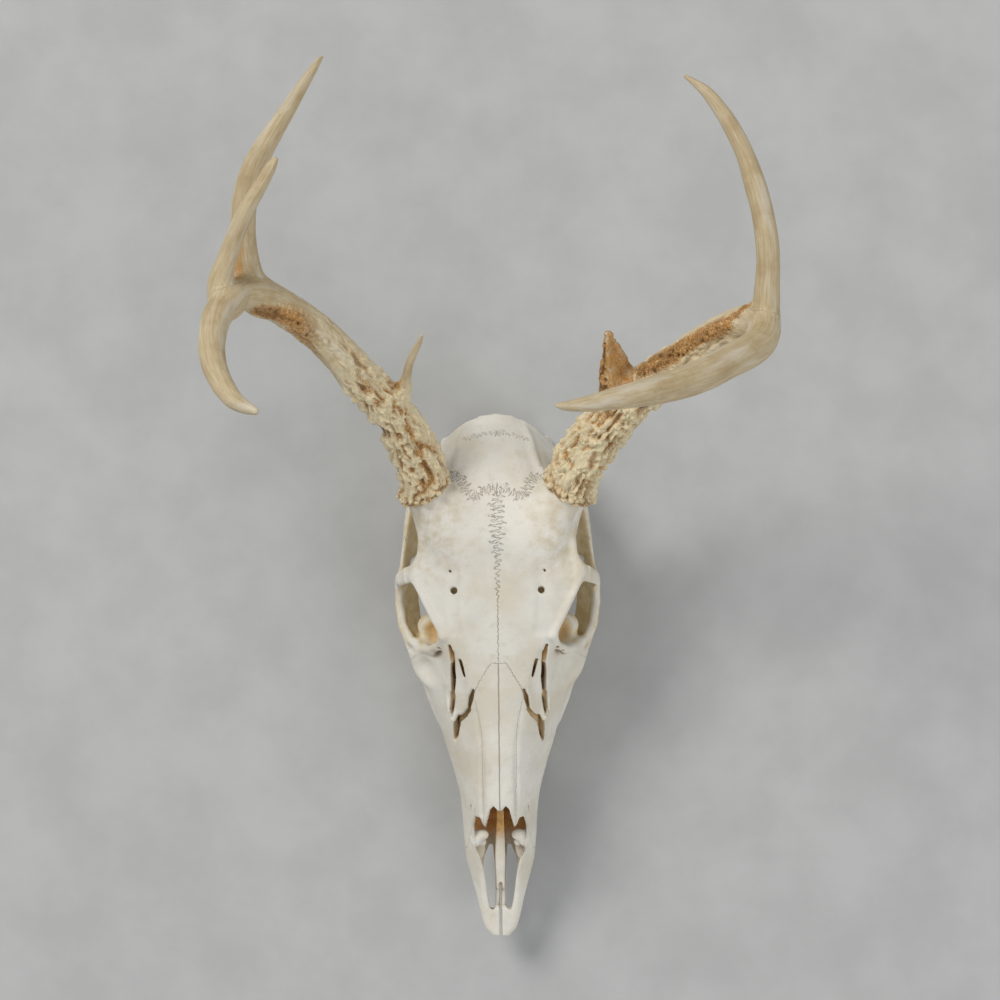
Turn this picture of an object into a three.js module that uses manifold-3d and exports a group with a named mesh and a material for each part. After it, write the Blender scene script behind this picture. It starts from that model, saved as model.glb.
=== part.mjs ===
// White-tailed deer skull (buck cranium without the lower jaw, antlers on), life size.
// Millimetres, +Z up. The nose points along -Y, the animal's left is +X. It lies on its
// cheek teeth and on the tips of the two processes beside the neck joint, all on z = 0.
//
// The bone is one rounded field built from named bones (an outer envelope lofted through
// stations, then bars, tubes and ellipsoids added or cut), turned into a closed mesh,
// thinned to few triangles, and parted with thin cuts along the sutures and antler forks.
import * as THREE from 'three';
import { mergeVertices } from 'three/addons/utils/BufferGeometryUtils.js';
import Module from 'manifold-3d';

// ------------------------------------------------------------------ driving sizes
const GRID = 1.6;             // spacing of the lattice the surface is taken from
const SKULL_TRIANGLES = 3700; // triangles left on the bone
const ANTLER_TRIANGLES = 720; // and on each antler
const GAP = 0.3;              // width of every cut between two pieces
const WALL = 3.0;             // thickness of the bone around the nasal cavity
const NOSE_Y = -231.0;        // y of the nose tip; s = y - NOSE_Y runs back along the skull
const SHIFT_X = 0.7;          // moves the whole so that its box is centred on the origin
const SHIFT_Y = 15.6;
const BURR = [36.0, 235.9, 100.0];   // centre of the antler seat (|x|, s, z)
const AXIS = unit([0.44, 0.76, 0.47]); // direction in which the antler leaves it
const BURR_BEADS = 11;        // beads round the burr

// Stations of the envelope: s; top of the midline; roof edge x, z; upper wall x, z;
// widest point x, z; lower edge x, z; underside of the midline.
const STATIONS = [
  [-1.5, 28.0, 2.0, 28.0, 3.2, 27.6, 4.2, 26.8, 3.5, 25.6, 25.4],
  [3, 29.5, 4.6, 29.3, 7.0, 28.6, 8.2, 27.2, 6.5, 25.0, 24.6],
  [10, 31.5, 6.0, 31.0, 9.0, 30.0, 10.4, 28.0, 8.5, 24.5, 24.0],
  [20, 35.0, 8.0, 34.5, 11.0, 32.5, 12.7, 28.6, 10.8, 24.2, 23.8],
  [31, 41.0, 9.2, 40.0, 13.0, 36.0, 15.6, 29.8, 13.2, 24.2, 24.4],
  [42, 48.5, 9.5, 47.0, 14.5, 41.0, 18.2, 31.5, 15.6, 24.6, 25.6],
  [53, 57.0, 9.3, 54.5, 15.2, 46.0, 19.2, 33.0, 16.6, 25.0, 27.0],
  [64, 66.2, 9.0, 63.0, 15.8, 51.0, 19.8, 35.0, 17.0, 25.4, 28.6],
  [75, 71.8, 9.0, 68.2, 16.8, 54.5, 21.0, 37.0, 17.8, 25.4, 29.2],
  [90, 75.8, 9.3, 72.3, 18.8, 58.5, 24.5, 40.0, 20.2, 24.0, 28.6],
  [102, 78.8, 10.0, 75.5, 21.2, 61.5, 28.2, 42.0, 23.2, 21.5, 27.0],
  [115, 82.0, 11.6, 79.0, 24.5, 65.0, 31.8, 45.0, 26.0, 18.8, 25.0],
  [125, 84.6, 13.2, 81.6, 26.8, 68.0, 35.0, 48.0, 27.8, 17.0, 23.4],
  [136, 87.6, 17.0, 84.2, 29.5, 71.5, 37.8, 52.0, 29.2, 15.4, 21.8],
  [147, 90.8, 21.8, 87.0, 31.0, 74.0, 38.6, 55.0, 30.2, 14.2, 20.4],
  [156, 93.8, 25.4, 89.4, 29.5, 76.0, 34.0, 54.0, 30.2, 13.6, 19.4],
  [165, 96.8, 29.0, 91.6, 24.5, 76.5, 25.5, 52.0, 28.8, 14.0, 18.8],
  [174, 99.6, 33.0, 93.2, 19.5, 79.0, 17.5, 55.0, 20.0, 26.0, 21.0],
  [183, 102.0, 37.4, 94.6, 18.2, 80.0, 15.5, 58.0, 13.8, 38.0, 30.0],
  [192, 104.0, 41.0, 95.4, 20.5, 81.0, 18.0, 60.0, 14.8, 42.0, 34.0],
  [203, 105.6, 39.0, 96.2, 27.0, 82.0, 25.5, 62.0, 18.0, 43.0, 34.5],
  [215, 106.6, 37.4, 96.4, 32.0, 81.0, 32.0, 62.0, 22.0, 43.0, 33.5],
  [227, 106.2, 35.0, 95.4, 34.6, 79.0, 35.0, 60.0, 25.0, 41.0, 31.5],
  [240, 102.4, 27.0, 93.4, 34.2, 75.0, 35.6, 57.0, 26.0, 38.0, 29.0],
  [252, 95.4, 21.0, 89.0, 31.6, 71.0, 34.4, 53.0, 25.0, 34.0, 26.5],
  [261, 88.4, 18.6, 83.4, 26.4, 68.0, 28.5, 50.0, 23.0, 30.0, 25.0],
  [268, 82.4, 15.0, 78.6, 19.5, 66.0, 21.5, 47.0, 19.0, 28.0, 24.5],
  [273.5, 77.2, 8.0, 75.0, 11.0, 65.0, 13.0, 46.0, 13.0, 30.0, 26.0],
];
const SPAN_PIECES = 3; // straight pieces in each span of a section

// Bones on and in the envelope, in the order they are worked: name, kind, add or cut,
// blend radius, sizes. Coordinates are (|x|, s, z), so each stands on both sides.
const UP = [0, 0, 1];
const BONES = [
  ['cheek mass', 'ell', 'add', 8, [[36, 150, 58], [9, 14, 13]]],
  ['orbit hollow', 'ell', 'cut', 3, [[40.5, 175.5, 76], [21, 19.5, 18.5]]],
  ['orbit depth', 'ell', 'cut', 5, [[30, 178, 70], [14, 17, 16]]],
  ['jugal plate', 'bar', 'add', 4, [[[37.5, 146, 52, 8.5, 3.2], [42.6, 155, 53, 9, 2.6], [45.9, 166, 52, 9.6, 2.2], [47.3, 178, 52, 9.4, 2.1], [47.6, 190, 54.5, 8, 2.2]], [0.56, 0, 0.83]]],
  ['zygomatic arch', 'bar', 'add', 3, [[[49.2, 188, 55.5, 6.2, 2.2], [48.2, 200, 54.5, 5.2, 2.1], [46.6, 213, 53.5, 4.8, 2.1], [44.5, 226, 51, 4.6, 2.4], [38.5, 237, 47.5, 4.4, 3.2]], [0.3, 0, 0.95]]],
  ['arch root', 'bar', 'add', 4, [[[45.0, 204, 52, 3, 1.8], [43.2, 210, 51, 5.4, 2.0], [42.0, 219, 49.5, 6.4, 2.4], [39.5, 230, 47.5, 7.0, 3.2]], [0.85, 0, 0.5]]],
  ['postorbital bar', 'bar', 'add', 3, [[[41, 194.5, 95.3, 4.4, 1.8], [46.5, 192.8, 90.5, 4.2, 1.7], [50.2, 191, 82, 3.6, 1.7], [51.3, 190, 72, 3.6, 1.9], [49.8, 189.5, 60, 5.2, 2.1]], [0, 1, 0.1]]],
  ['supraorbital rim', 'tube', 'add', 3, [[28.2, 161.5, 90.6, 1.6], [32.0, 169, 93.0, 1.6], [36.4, 178, 94.9, 1.6], [40.6, 187, 95.6, 1.6], [43.5, 193, 93.8, 1.6]]],
  ['anterior rim', 'tube', 'add', 3, [[28.2, 161.5, 90.6, 1.7], [30.6, 156.2, 84, 1.9], [35, 153.6, 75, 2.2], [40, 154.6, 66.5, 2.2], [45.4, 158.6, 61.5, 2.0], [49.4, 166.5, 59.8, 1.8], [51.2, 178, 60.0, 1.7], [51.2, 187, 63, 1.7]]],
  ['lacrimal pit', 'ell', 'cut', 5, [[39.5, 141, 70], [6, 8, 7]]],
  ['facial crest', 'tube', 'add', 6, [[30.2, 117, 42, 1.6], [34.4, 127, 45, 2.0], [36.6, 136, 48, 2.2], [38.8, 146, 54, 2.4]]],
  ['slit lateral upper', 'bar', 'cut', 0.8, [[[25.0, 156, 90, 5.5, 0.7], [24.1, 152.5, 88, 5.5, 1.3], [23.8, 147.4, 86, 5.5, 1.2], [24.0, 143.8, 84.5, 5.5, 0.8]], [0.25, 0, 0.97]]],
  ['slit lateral lower', 'bar', 'cut', 0.8, [[[24.1, 140.8, 83, 5.5, 0.8], [24.3, 137, 81.5, 5.5, 1.8], [24.7, 130.4, 78, 5.5, 1.4], [25.1, 122.8, 72, 5.0, 0.7]], [0.25, 0, 0.97]]],
  ['slit medial upper', 'bar', 'cut', 0.8, [[[13.7, 132.6, 85.5, 5, 0.8], [14.9, 128.5, 83, 6, 1.5], [16.1, 124, 81, 6, 1.1]], [0.3, 0, 0.95]]],
  ['slit medial crack', 'bar', 'cut', 0.5, [[[16.1, 124, 81, 6, 0.6], [16.6, 121.6, 80, 6, 0.6], [19.8, 117.8, 75, 6, 0.6]], [0.3, 0, 0.95]]],
  ['slit medial lower', 'bar', 'cut', 0.8, [[[21.3, 117.8, 72, 7, 1.3], [22.6, 114.2, 69, 7, 2.4], [23.0, 109.4, 65, 7, 2.0], [23.2, 105.5, 61, 5, 0.9]], [0.3, 0, 0.95]]],
  ['incisive opening', 'bar', 'cut', 0.8, [[[5.0, 46.5, 26, 14, 1.3], [5.9, 41, 26, 14, 2.7], [6.0, 35, 26, 14, 3.3], [5.5, 28, 26, 14, 2.9], [4.9, 20, 26, 14, 2.2], [4.5, 14.5, 26, 14, 1.5]], UP]],
  ['sunken plate', 'bar', 'cut', 2, [[[23, 152, 89.6, 2.2, 0.9], [20.0, 139, 84.8, 4.2, 1.6], [20.2, 127, 79.0, 4.0, 1.7], [22.6, 115, 70.5, 2.6, 1.2]], [0.8, 0, -0.6]]],
  ['alveolar process', 'bar', 'add', 4, [[[19.9, 88, 22.5, 5, 4.0], [23.2, 106, 20, 8.5, 4.8], [26.2, 124, 19, 9, 5.4], [27.4, 144, 18.5, 9, 6.0], [26.8, 162, 19.5, 8.5, 5.6]], UP]],
  ['glenoid shelf', 'ell', 'add', 4, [[34, 236, 45.5], [13, 8.5, 4.6]]],
  ['postglenoid', 'ell', 'add', 3, [[31, 243, 41], [7, 2.6, 5]]],
  ['basioccipital', 'ell', 'add', 5, [[0, 250, 27], [11, 24, 6]]],
  ['basisphenoid', 'ell', 'add', 5, [[0, 218, 33], [9, 22, 5]]],
  ['bulla', 'ell', 'add', 3, [[19.5, 243, 22], [6.6, 10.5, 8.5]]],
  ['ear tube', 'tube', 'add', 3, [[22, 246, 32, 5.2], [32, 248, 43, 4.8]]],
  ['mastoid', 'ell', 'add', 4, [[25.5, 256, 38], [4.8, 6, 16]]],
  ['paracondylar process', 'bar', 'add', 3.5, [[[26.5, 257.5, 32, 5.6, 3.2], [27.2, 260.5, 18, 4.4, 2.8], [26.4, 262.5, 3, 3.2, 2.6], [26.3, 262.8, -1.5, 3.0, 2.6]], [0, 1, 0]]],
  ['condyle', 'ell', 'add', 2.5, [[12.2, 264.8, 27.5], [7.4, 7.2, 11.5]]],
  ['condyle inner', 'ell', 'add', 3, [[8.5, 264, 19.5], [7, 7, 5.5]]],
  ['pterygoid plate', 'bar', 'add', 3, [[[12, 172, 24, 8.5, 1.6], [11, 186, 25, 8.5, 1.3], [10.8, 198, 28, 7, 1.3], [12.5, 208, 33, 4.5, 1.6]], UP]],
  ['maxillary tuber', 'ell', 'add', 4, [[25.5, 163, 27], [7.5, 13, 13]]],
  ['nuchal crest', 'tube', 'add', 3.5, [[0, 272.9, 76.4, 2.2], [8, 272.0, 76.2, 2.1], [14.5, 269.8, 75.0, 2.0], [19.6, 266.2, 72, 2.0], [23.6, 261.4, 67.5, 2.0], [26.2, 256.5, 60, 2.0], [28.2, 253.5, 51, 2.2]]],
  ['occipital hollow', 'ell', 'cut', 6, [[11, 280, 58], [11, 9, 15]]],
  ['occipital keel', 'tube', 'add', 5, [[0, 272.5, 72, 2.5], [0, 271.0, 60, 2.0], [0, 269.5, 50, 2.0]]],
  ['foramen magnum', 'ell', 'cut', 1.5, [[0, 276, 33.5], [10.2, 26, 9.4]]],
  ['pedicle', 'tube', 'add', 9, [[28.4, 222.6, 91.6, 12.4], [36.0, 235.9, 100.0, 11.6], [38.6, 240.5, 102.8, 11.6]]],
  ['supraorbital furrow', 'bar', 'cut', 2.5, [[[22.4, 198, 104.2, 3.0, 1.3], [22.4, 187, 101.3, 2.6, 1.6], [23.2, 176, 98.2, 2.6, 1.3], [22.2, 163, 94.5, 2.4, 1.0]], [1, 0, -0.2]]],
  ['forehead dish', 'ell', 'cut', 8, [[0, 186, 141], [30, 34, 38.8]]],
  ['frontal boss', 'ell', 'add', 10, [[20, 216, 99], [13, 15, 7.5]]],
  ['temporal line front', 'tube', 'add', 3, [[43, 196, 94.8, 1.5], [39.6, 203, 96.6, 1.5], [37.8, 214, 97.4, 1.6]]],
  ['temporal line back', 'tube', 'add', 4, [[27, 238, 94.8, 1.2], [21.4, 248, 91.4, 1.2], [18.6, 256, 86.8, 1.1], [17.6, 262, 82.4, 1.0], [15.5, 266.5, 79, 0.9]]],
  ['supraorbital foramen', 'tube', 'cut', 0.8, [[22.4, 186, 106, 1.9], [22.2, 184.5, 93, 1.7]]],
  ['infraorbital foramen', 'tube', 'cut', 1.2, [[30, 92, 40, 3.0], [20, 103, 42, 2.4]]],
];

// Openings, as [s, value] pairs.
const NASAL_FLOOR = [[0, 26.5], [20, 28], [60, 31.5], [100, 31], [150, 27]];
const NASAL_BACK = [[30, 138], [60, 143], [85, 150]];   // [z, s] where the cavity ends
const NASAL_HALF = [[20, 14], [60, 15], [110, 21], [150, 25]];
const APERTURE_HALF = [[0, 2.5], [12, 5.2], [20, 6.8], [35, 8.8], [42, 10.4], [48, 13.0], [60, 13.6], [66, 12.6], [80, 10]];
const NASAL_TIPS = [[0, 69], [1, 69.5], [3.2, 72], [5, 70], [7.6, 60], [8.8, 61.5], [10.2, 65], [12.4, 65.5], [13.4, 62]]; // [|x|, s]
const SEPTUM_HALF = [[20, 2.0], [27, 2.3], [42, 2.7], [70, 1.9], [150, 1.7]];
const SEPTUM_TOP = [[5, 28], [22, 30.5], [30, 34], [45, 40.5], [58, 44], [70, 46], [100, 50], [150, 62]];
const CHOANA = [[0, 196, 25], [8.6, 40, 9.5]];
const PALATE_ARCH = [[0, 120, 8], [16.5, 70, 13.5]];
const NOSE_SPLIT = [0.55, 27]; // half width and length of the gap between the two nose tips

// Cheek teeth of one side: s, |x|, length, width.
const TEETH = [
  [95, 20.8, 9.0, 6.8], [106, 23.7, 10.2, 7.8], [117.5, 25.8, 11.2, 8.6],
  [130, 27.4, 13.2, 10.0], [144.5, 27.8, 14.4, 10.6], [159, 27.2, 13.6, 10.0],
];
const CROWN_TOP = 17;

// Antlers: centre line and radius (x, s, z, r) of each beam and tine.
const ANTLERS = {
  right: {
    beam: [[-35.9, 236, 100, 11.7], [-36.9, 245.1, 106.5, 11.4], [-41.9, 258.1, 116, 11.1], [-48.7, 271, 127, 10.2], [-57.3, 282, 138, 9.4], [-67.1, 292.2, 150, 9.1], [-75.7, 303, 162, 8.8], [-86.5, 313.7, 174, 8.6], [-98.2, 322.2, 186, 8.5], [-110.6, 328.5, 198, 8.6], [-121.3, 329.4, 211, 7.5], [-128.3, 319.4, 228, 7], [-130, 306.8, 245, 6.4], [-128, 295.1, 260, 5.8], [-123.5, 285.4, 272, 5.2], [-117.7, 277.8, 282, 4.4], [-111.7, 273.7, 290, 3.2], [-106.4, 271.5, 295, 1.8]],
    brow_tine: [[-50.5, 280, 134, 6], [-45.6, 286, 141, 3.6], [-43.7, 292.4, 149, 2.4], [-42.1, 298, 155, 2.1], [-39.1, 304.4, 161, 1.8], [-36.8, 308.4, 165.5, 1.4], [-35.6, 311.3, 168.5, 0.8]],
    second_tine: [[-111.5, 328, 197, 7.8], [-115.8, 335.3, 200, 7.4], [-117.8, 344.5, 203.5, 6.8], [-118.4, 354.1, 208.5, 6.3], [-118, 363, 213.5, 6.1], [-116.6, 372.3, 219.5, 6], [-113.5, 382.4, 225.5, 5.7], [-108.8, 391.5, 231, 5.4], [-102.5, 400.4, 237.5, 4.7], [-93.6, 412.1, 246, 3.6], [-85.7, 422.6, 254.5, 2.6], [-80.3, 429.1, 261, 1.7], [-76.8, 432.9, 266, 0.7]],
    third_tine: [[-124.6, 324, 218, 6.7], [-128.7, 332.6, 219, 5.9], [-123.7, 346.5, 226, 4.7], [-119.1, 356.8, 233, 4.2], [-113.5, 367.2, 239.5, 3.8], [-107.3, 376.3, 245, 3.3], [-102.1, 384.3, 249, 2.6], [-99.8, 387.7, 251, 1.5]],
  },
  left: {
    beam: [[37.4, 235.2, 100, 12.7], [39.6, 245.3, 106.5, 12.4], [47.3, 258.2, 117, 12.1], [57.5, 270.4, 129, 11.2], [68.6, 281.3, 141, 10.4], [79.9, 290.6, 153, 9.6], [91.9, 299.2, 166, 9], [103.3, 306.7, 179, 8.7], [113.9, 312.1, 192, 8.6], [121.9, 314.2, 204, 8.5], [126.4, 310.6, 215, 8.1], [123.2, 303, 226, 7.9], [115.8, 297.7, 236, 7.9], [107.1, 293.4, 246, 7.7], [95.7, 287.5, 257, 7.6], [83.4, 282.8, 268, 7.2], [67.6, 278.7, 280, 6.3], [52.2, 275.4, 290, 4.8], [40.9, 273.2, 296, 3.5], [31.7, 272.2, 300, 2.2], [27.4, 272.4, 302, 1]],
    second_tine: [[125.9, 311.6, 207, 7.3], [127.8, 321.1, 213, 6.6], [128.1, 330.6, 218, 6], [128.2, 341, 223, 5.6], [127.3, 350.9, 227, 5.5], [125, 363.6, 231, 5.2], [121.3, 376.2, 235, 5.1], [116.8, 388.9, 238, 4.3], [111.2, 400.1, 241, 4], [105.5, 409.2, 243, 3.5], [99.2, 417, 245, 2.8], [93.7, 421.5, 246, 1.8], [88.8, 424.7, 247, 0.8]],
  },
};
// The left brow tine is a broad, flat, broken stump: (x, s, z, half width, half thickness).
const LEFT_BROW = [[62, 282, 135, 10.5, 6.8], [59.6, 290.5, 144, 9.4, 5], [57.9, 299.6, 153.5, 7, 3.6], [56, 306.2, 161, 4.3, 2.4], [54.7, 311.4, 167, 1.7, 1.2]];
const LEFT_BROW_SIDE = [0.83, 0.55, 0.1];

// Where each antler is parted: on which branch, how far along its points, the disc's
// radius, and for a tine whose cut lies along the beam, the beam's point beside it.
const FORK_CUTS = {
  right: [['brow_tine', 0.8, 11, 4], ['second_tine', 2.3, 10], ['third_tine', 1.7, 8.5], ['beam', 12, 9]],
  left: [['brow_tine', 1.05, 17, 4], ['second_tine', 1.9, 10], ['beam', 11.0, 12]],
};

// ------------------------------------------------------------------ small vector helpers
function unit(v) { const l = Math.hypot(...v); return v.map((c) => c / l); }
function dot(a, b) { return a[0] * b[0] + a[1] * b[1] + a[2] * b[2]; }
function cross(a, b) { return [a[1] * b[2] - a[2] * b[1], a[2] * b[0] - a[0] * b[2], a[0] * b[1] - a[1] * b[0]]; }
function clamp(v, a, b) { return v < a ? a : v > b ? b : v; }
function lerpTable(table, t) {
  if (t <= table[0][0]) return table[0][1];
  for (let i = 1; i < table.length; i++) {
    if (t <= table[i][0]) {
      const k = (t - table[i - 1][0]) / (table[i][0] - table[i - 1][0]);
      return table[i - 1][1] + k * (table[i][1] - table[i - 1][1]);
    }
  }
  return table[table.length - 1][1];
}
function smin(a, b, k) { const h = clamp(0.5 + 0.5 * (b - a) / k, 0, 1); return b + (a - b) * h - k * h * (1 - h); }
function smax(a, b, k) { return -smin(-a, -b, k); }

// ------------------------------------------------------------------ the envelope
// Monotone cubic through the stations for each column.
function stationCurves() {
  const xs = STATIONS.map((r) => r[0]);
  const cols = STATIONS[0].length - 1;
  const slopes = [];
  for (let c = 0; c < cols; c++) {
    const ys = STATIONS.map((r) => r[c + 1]);
    const d = [], h = [];
    for (let i = 0; i + 1 < xs.length; i++) { h.push(xs[i + 1] - xs[i]); d.push((ys[i + 1] - ys[i]) / h[i]); }
    const m = [d[0]];
    for (let i = 1; i < xs.length - 1; i++) {
      const w1 = 2 * h[i] + h[i - 1], w2 = h[i] + 2 * h[i - 1];
      m.push(d[i - 1] * d[i] > 0 ? (w1 + w2) / (w1 / d[i - 1] + w2 / d[i]) : 0);
    }
    m.push(d[d.length - 1]);
    slopes.push(m);
  }
  return (s) => {
    let i = 0;
    while (i < xs.length - 2 && s >= xs[i + 1]) i++;
    const h = xs[i + 1] - xs[i], t = clamp((s - xs[i]) / h, 0, 1), t2 = t * t, t3 = t2 * t;
    return slopes.map((m, c) => STATIONS[i][c + 1] * (2 * t3 - 3 * t2 + 1) + m[i] * h * (t3 - 2 * t2 + t)
      + STATIONS[i + 1][c + 1] * (3 * t2 - 2 * t3) + m[i + 1] * h * (t3 - t2));
  };
}

// Section outline at every millimetre of s: half of it, from the top of the midline to
// the underside, each span a Catmull-Rom curve.
const S_FIRST = STATIONS[0][0], S_LAST = STATIONS[STATIONS.length - 1][0];
const SECTIONS = (() => {
  const at = stationCurves(), out = [];
  for (let s = S_FIRST; s < S_LAST + 0.5; s += 1) {
    const c = at(Math.min(s, S_LAST));
    const key = [[-c[1], c[2]], [0, c[0]], [c[1], c[2]], [c[3], c[4]], [c[5], c[6]], [c[7], c[8]], [0, c[9]], [-c[7], c[8]]];
    const pts = [];
    for (let k = 1; k < 6; k++) {
      for (let j = 0; j < SPAN_PIECES; j++) {
        const t = j / SPAN_PIECES;
        pts.push([0, 1].map((e) => 0.5 * (2 * key[k][e] + (key[k + 1][e] - key[k - 1][e]) * t
          + (2 * key[k - 1][e] - 5 * key[k][e] + 4 * key[k + 1][e] - key[k + 2][e]) * t * t
          + (3 * key[k][e] - key[k - 1][e] - 3 * key[k + 1][e] + key[k + 2][e]) * t * t * t)));
      }
    }
    pts.push(key[6]);
    out.push(Float64Array.from(pts.flat()));
  }
  return out;
})();

function envelope(ax, s, z) {
  const q = clamp(s - S_FIRST, 0, SECTIONS.length - 1.001), i = Math.floor(q), t = q - i, u = 1 - t;
  const A = SECTIONS[i], B = SECTIONS[i + 1];
  let best = 1e18, inside = false;
  let px = A[0] * u + B[0] * t, pz = A[1] * u + B[1] * t;
  for (let k = 2; k < A.length; k += 2) {
    const x = A[k] * u + B[k] * t, w = A[k + 1] * u + B[k + 1] * t;
    const ex = x - px, ez = w - pz, dx = ax - px, dz = z - pz;
    const h = clamp((dx * ex + dz * ez) / (ex * ex + ez * ez + 1e-9), 0, 1);
    const rx = dx - ex * h, rz = dz - ez * h, d = rx * rx + rz * rz;
    if (d < best) best = d;
    if ((pz > z) !== (w > z) && ax < px + ex * (z - pz) / ez) inside = !inside;
    px = x; pz = w;
  }
  const d = inside ? -Math.sqrt(best) : Math.sqrt(best);
  return Math.max(d, S_FIRST - s, s - S_LAST);
}

// ------------------------------------------------------------------ field primitives
function ellipsoid(x, y, z, c, r) {
  const a = (x - c[0]) / r[0], b = (y - c[1]) / r[1], d = (z - c[2]) / r[2];
  const k0 = Math.sqrt(a * a + b * b + d * d);
  const k1 = Math.sqrt((a / r[0]) ** 2 + (b / r[1]) ** 2 + (d / r[2]) ** 2) + 1e-6;
  return k0 * (k0 - 1) / k1;
}
// A bar of elliptic section: half width a along side, half thickness b across it.
function makeBar(points, side) {
  const n = unit(side), segs = [];
  for (let i = 0; i + 1 < points.length; i++) {
    const [x0, y0, z0, a0, b0] = points[i], [x1, y1, z1, a1, b1] = points[i + 1];
    const d = [x1 - x0, y1 - y0, z1 - z0], L = Math.hypot(...d), e = d.map((c) => c / L);
    const k = dot(n, e), u = unit([n[0] - e[0] * k, n[1] - e[1] * k, n[2] - e[2] * k]), v = cross(e, u);
    segs.push({ o: [x0, y0, z0], e, u, v, L, a0, b0, da: a1 - a0, db: b1 - b0 });
  }
  return (x, y, z) => {
    let best = 1e9;
    for (const g of segs) {
      const q = [x - g.o[0], y - g.o[1], z - g.o[2]], w = dot(q, g.e), t = clamp(w / g.L, 0, 1);
      const over = w - t * g.L, a = g.a0 + g.da * t, b = g.b0 + g.db * t, c = Math.min(a, b);
      const uu = dot(q, g.u), vv = dot(q, g.v);
      const k0 = Math.sqrt((uu / a) ** 2 + (vv / b) ** 2 + (over / c) ** 2);
      const k1 = Math.sqrt((uu / (a * a)) ** 2 + (vv / (b * b)) ** 2 + (over / (c * c)) ** 2) + 1e-6;
      best = Math.min(best, k0 * (k0 - 1) / k1);
    }
    return best;
  };
}
function makeTube(points) {
  const segs = [];
  for (let i = 0; i + 1 < points.length; i++) {
    const p = points[i], q = points[i + 1], e = [q[0] - p[0], q[1] - p[1], q[2] - p[2]];
    segs.push([p[0], p[1], p[2], e[0], e[1], e[2], dot(e, e), p[3], q[3] - p[3]]);
  }
  return (x, y, z) => {
    let best = 1e9;
    for (const g of segs) {
      const a = x - g[0], b = y - g[1], c = z - g[2];
      const t = clamp((a * g[3] + b * g[4] + c * g[5]) / g[6], 0, 1);
      const d = Math.hypot(a - t * g[3], b - t * g[4], c - t * g[5]) - (g[7] + g[8] * t);
      if (d < best) best = d;
    }
    return best;
  };
}
// Catmull-Rom through the control points, n pieces in each span.
function smooth(points, n) {
  const first = points[0].map((c, i) => 2 * c - points[1][i]);
  const last = points[points.length - 1].map((c, i) => 2 * c - points[points.length - 2][i]);
  const q = [first, ...points, last], out = [];
  for (let i = 0; i + 1 < points.length; i++) {
    for (let j = 0; j < n; j++) out.push(splineAt(q, i, j / n));
  }
  out.push(points[points.length - 1]);
  return out;
}
function splineAt(q, i, t) {
  return q[i + 1].map((_, e) => 0.5 * (2 * q[i + 1][e] + (q[i + 2][e] - q[i][e]) * t
    + (2 * q[i][e] - 5 * q[i + 1][e] + 4 * q[i + 2][e] - q[i + 3][e]) * t * t
    + (3 * q[i + 1][e] - q[i][e] - 3 * q[i + 2][e] + q[i + 3][e]) * t * t * t));
}

// ------------------------------------------------------------------ the bone
const WORK = BONES.map(([, kind, op, k, data]) => {
  const f = kind === 'ell' ? (x, y, z) => ellipsoid(x, y, z, data[0], data[1])
    : kind === 'bar' ? makeBar(data[0], data[1]) : makeTube(data);
  return { f, add: op === 'add', k };
});

function teeth(ax, s, z) {
  let best = 1e9;
  for (const [s0, x0, L, W] of TEETH) {
    const a = W / 2, b = L / 2 - 0.1;
    const k = (Math.abs((ax - x0) / a) ** 3 + Math.abs((s - s0) / b) ** 3) ** (1 / 3);
    best = Math.min(best, Math.max((k - 1) * Math.min(a, b), z - CROWN_TOP));
  }
  return best;
}

function skullField(x, s, z) {
  const ax = Math.abs(x), env = envelope(ax, s, z);
  let d = env;
  for (const w of WORK) d = w.add ? smin(d, w.f(ax, s, z), w.k) : smax(d, -w.f(ax, s, z), w.k);
  // nasal cavity: the envelope drawn in by the wall, open on top in front of the nasals
  const floor = lerpTable(NASAL_FLOOR, s) - z;
  let cavity = smax(env + WALL, floor, 2);
  cavity = smax(cavity, s - lerpTable(NASAL_BACK, z), 4);
  cavity = smax(cavity, ax - lerpTable(NASAL_HALF, s), 3);
  cavity = Math.max(cavity, 12 - s);
  let open = smax(ax - lerpTable(APERTURE_HALF, s), floor, 3);
  open = smax(smax(open, s - lerpTable(NASAL_TIPS, ax), 0.8), (20 - 1.17 * (z - 27) - s) / 1.5, 3);
  d = smax(d, -Math.min(cavity, open), 0.8);
  d = smax(d, -Math.max(ax - NOSE_SPLIT[0], s - NOSE_SPLIT[1]), 0.4);
  const septum = Math.max(ax - lerpTable(SEPTUM_HALF, s), z - lerpTable(SEPTUM_TOP, s), 24 - z, 24 - s, s - 153);
  d = smin(d, septum, 1);
  d = smax(d, -ellipsoid(ax, s, z, ...CHOANA), 2);
  d = smax(d, -ellipsoid(ax, s, z, ...PALATE_ARCH), 3);
  d = smin(d, teeth(ax, s, z), 1);
  // the antler's seat is a plane across the pedicle
  const r = [ax - BURR[0], s - BURR[1], z - BURR[2]];
  if (dot(r, r) < 400) d = Math.max(d, dot(r, AXIS) + GAP / 2);
  return Math.max(d, -1 - z);
}

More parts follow.
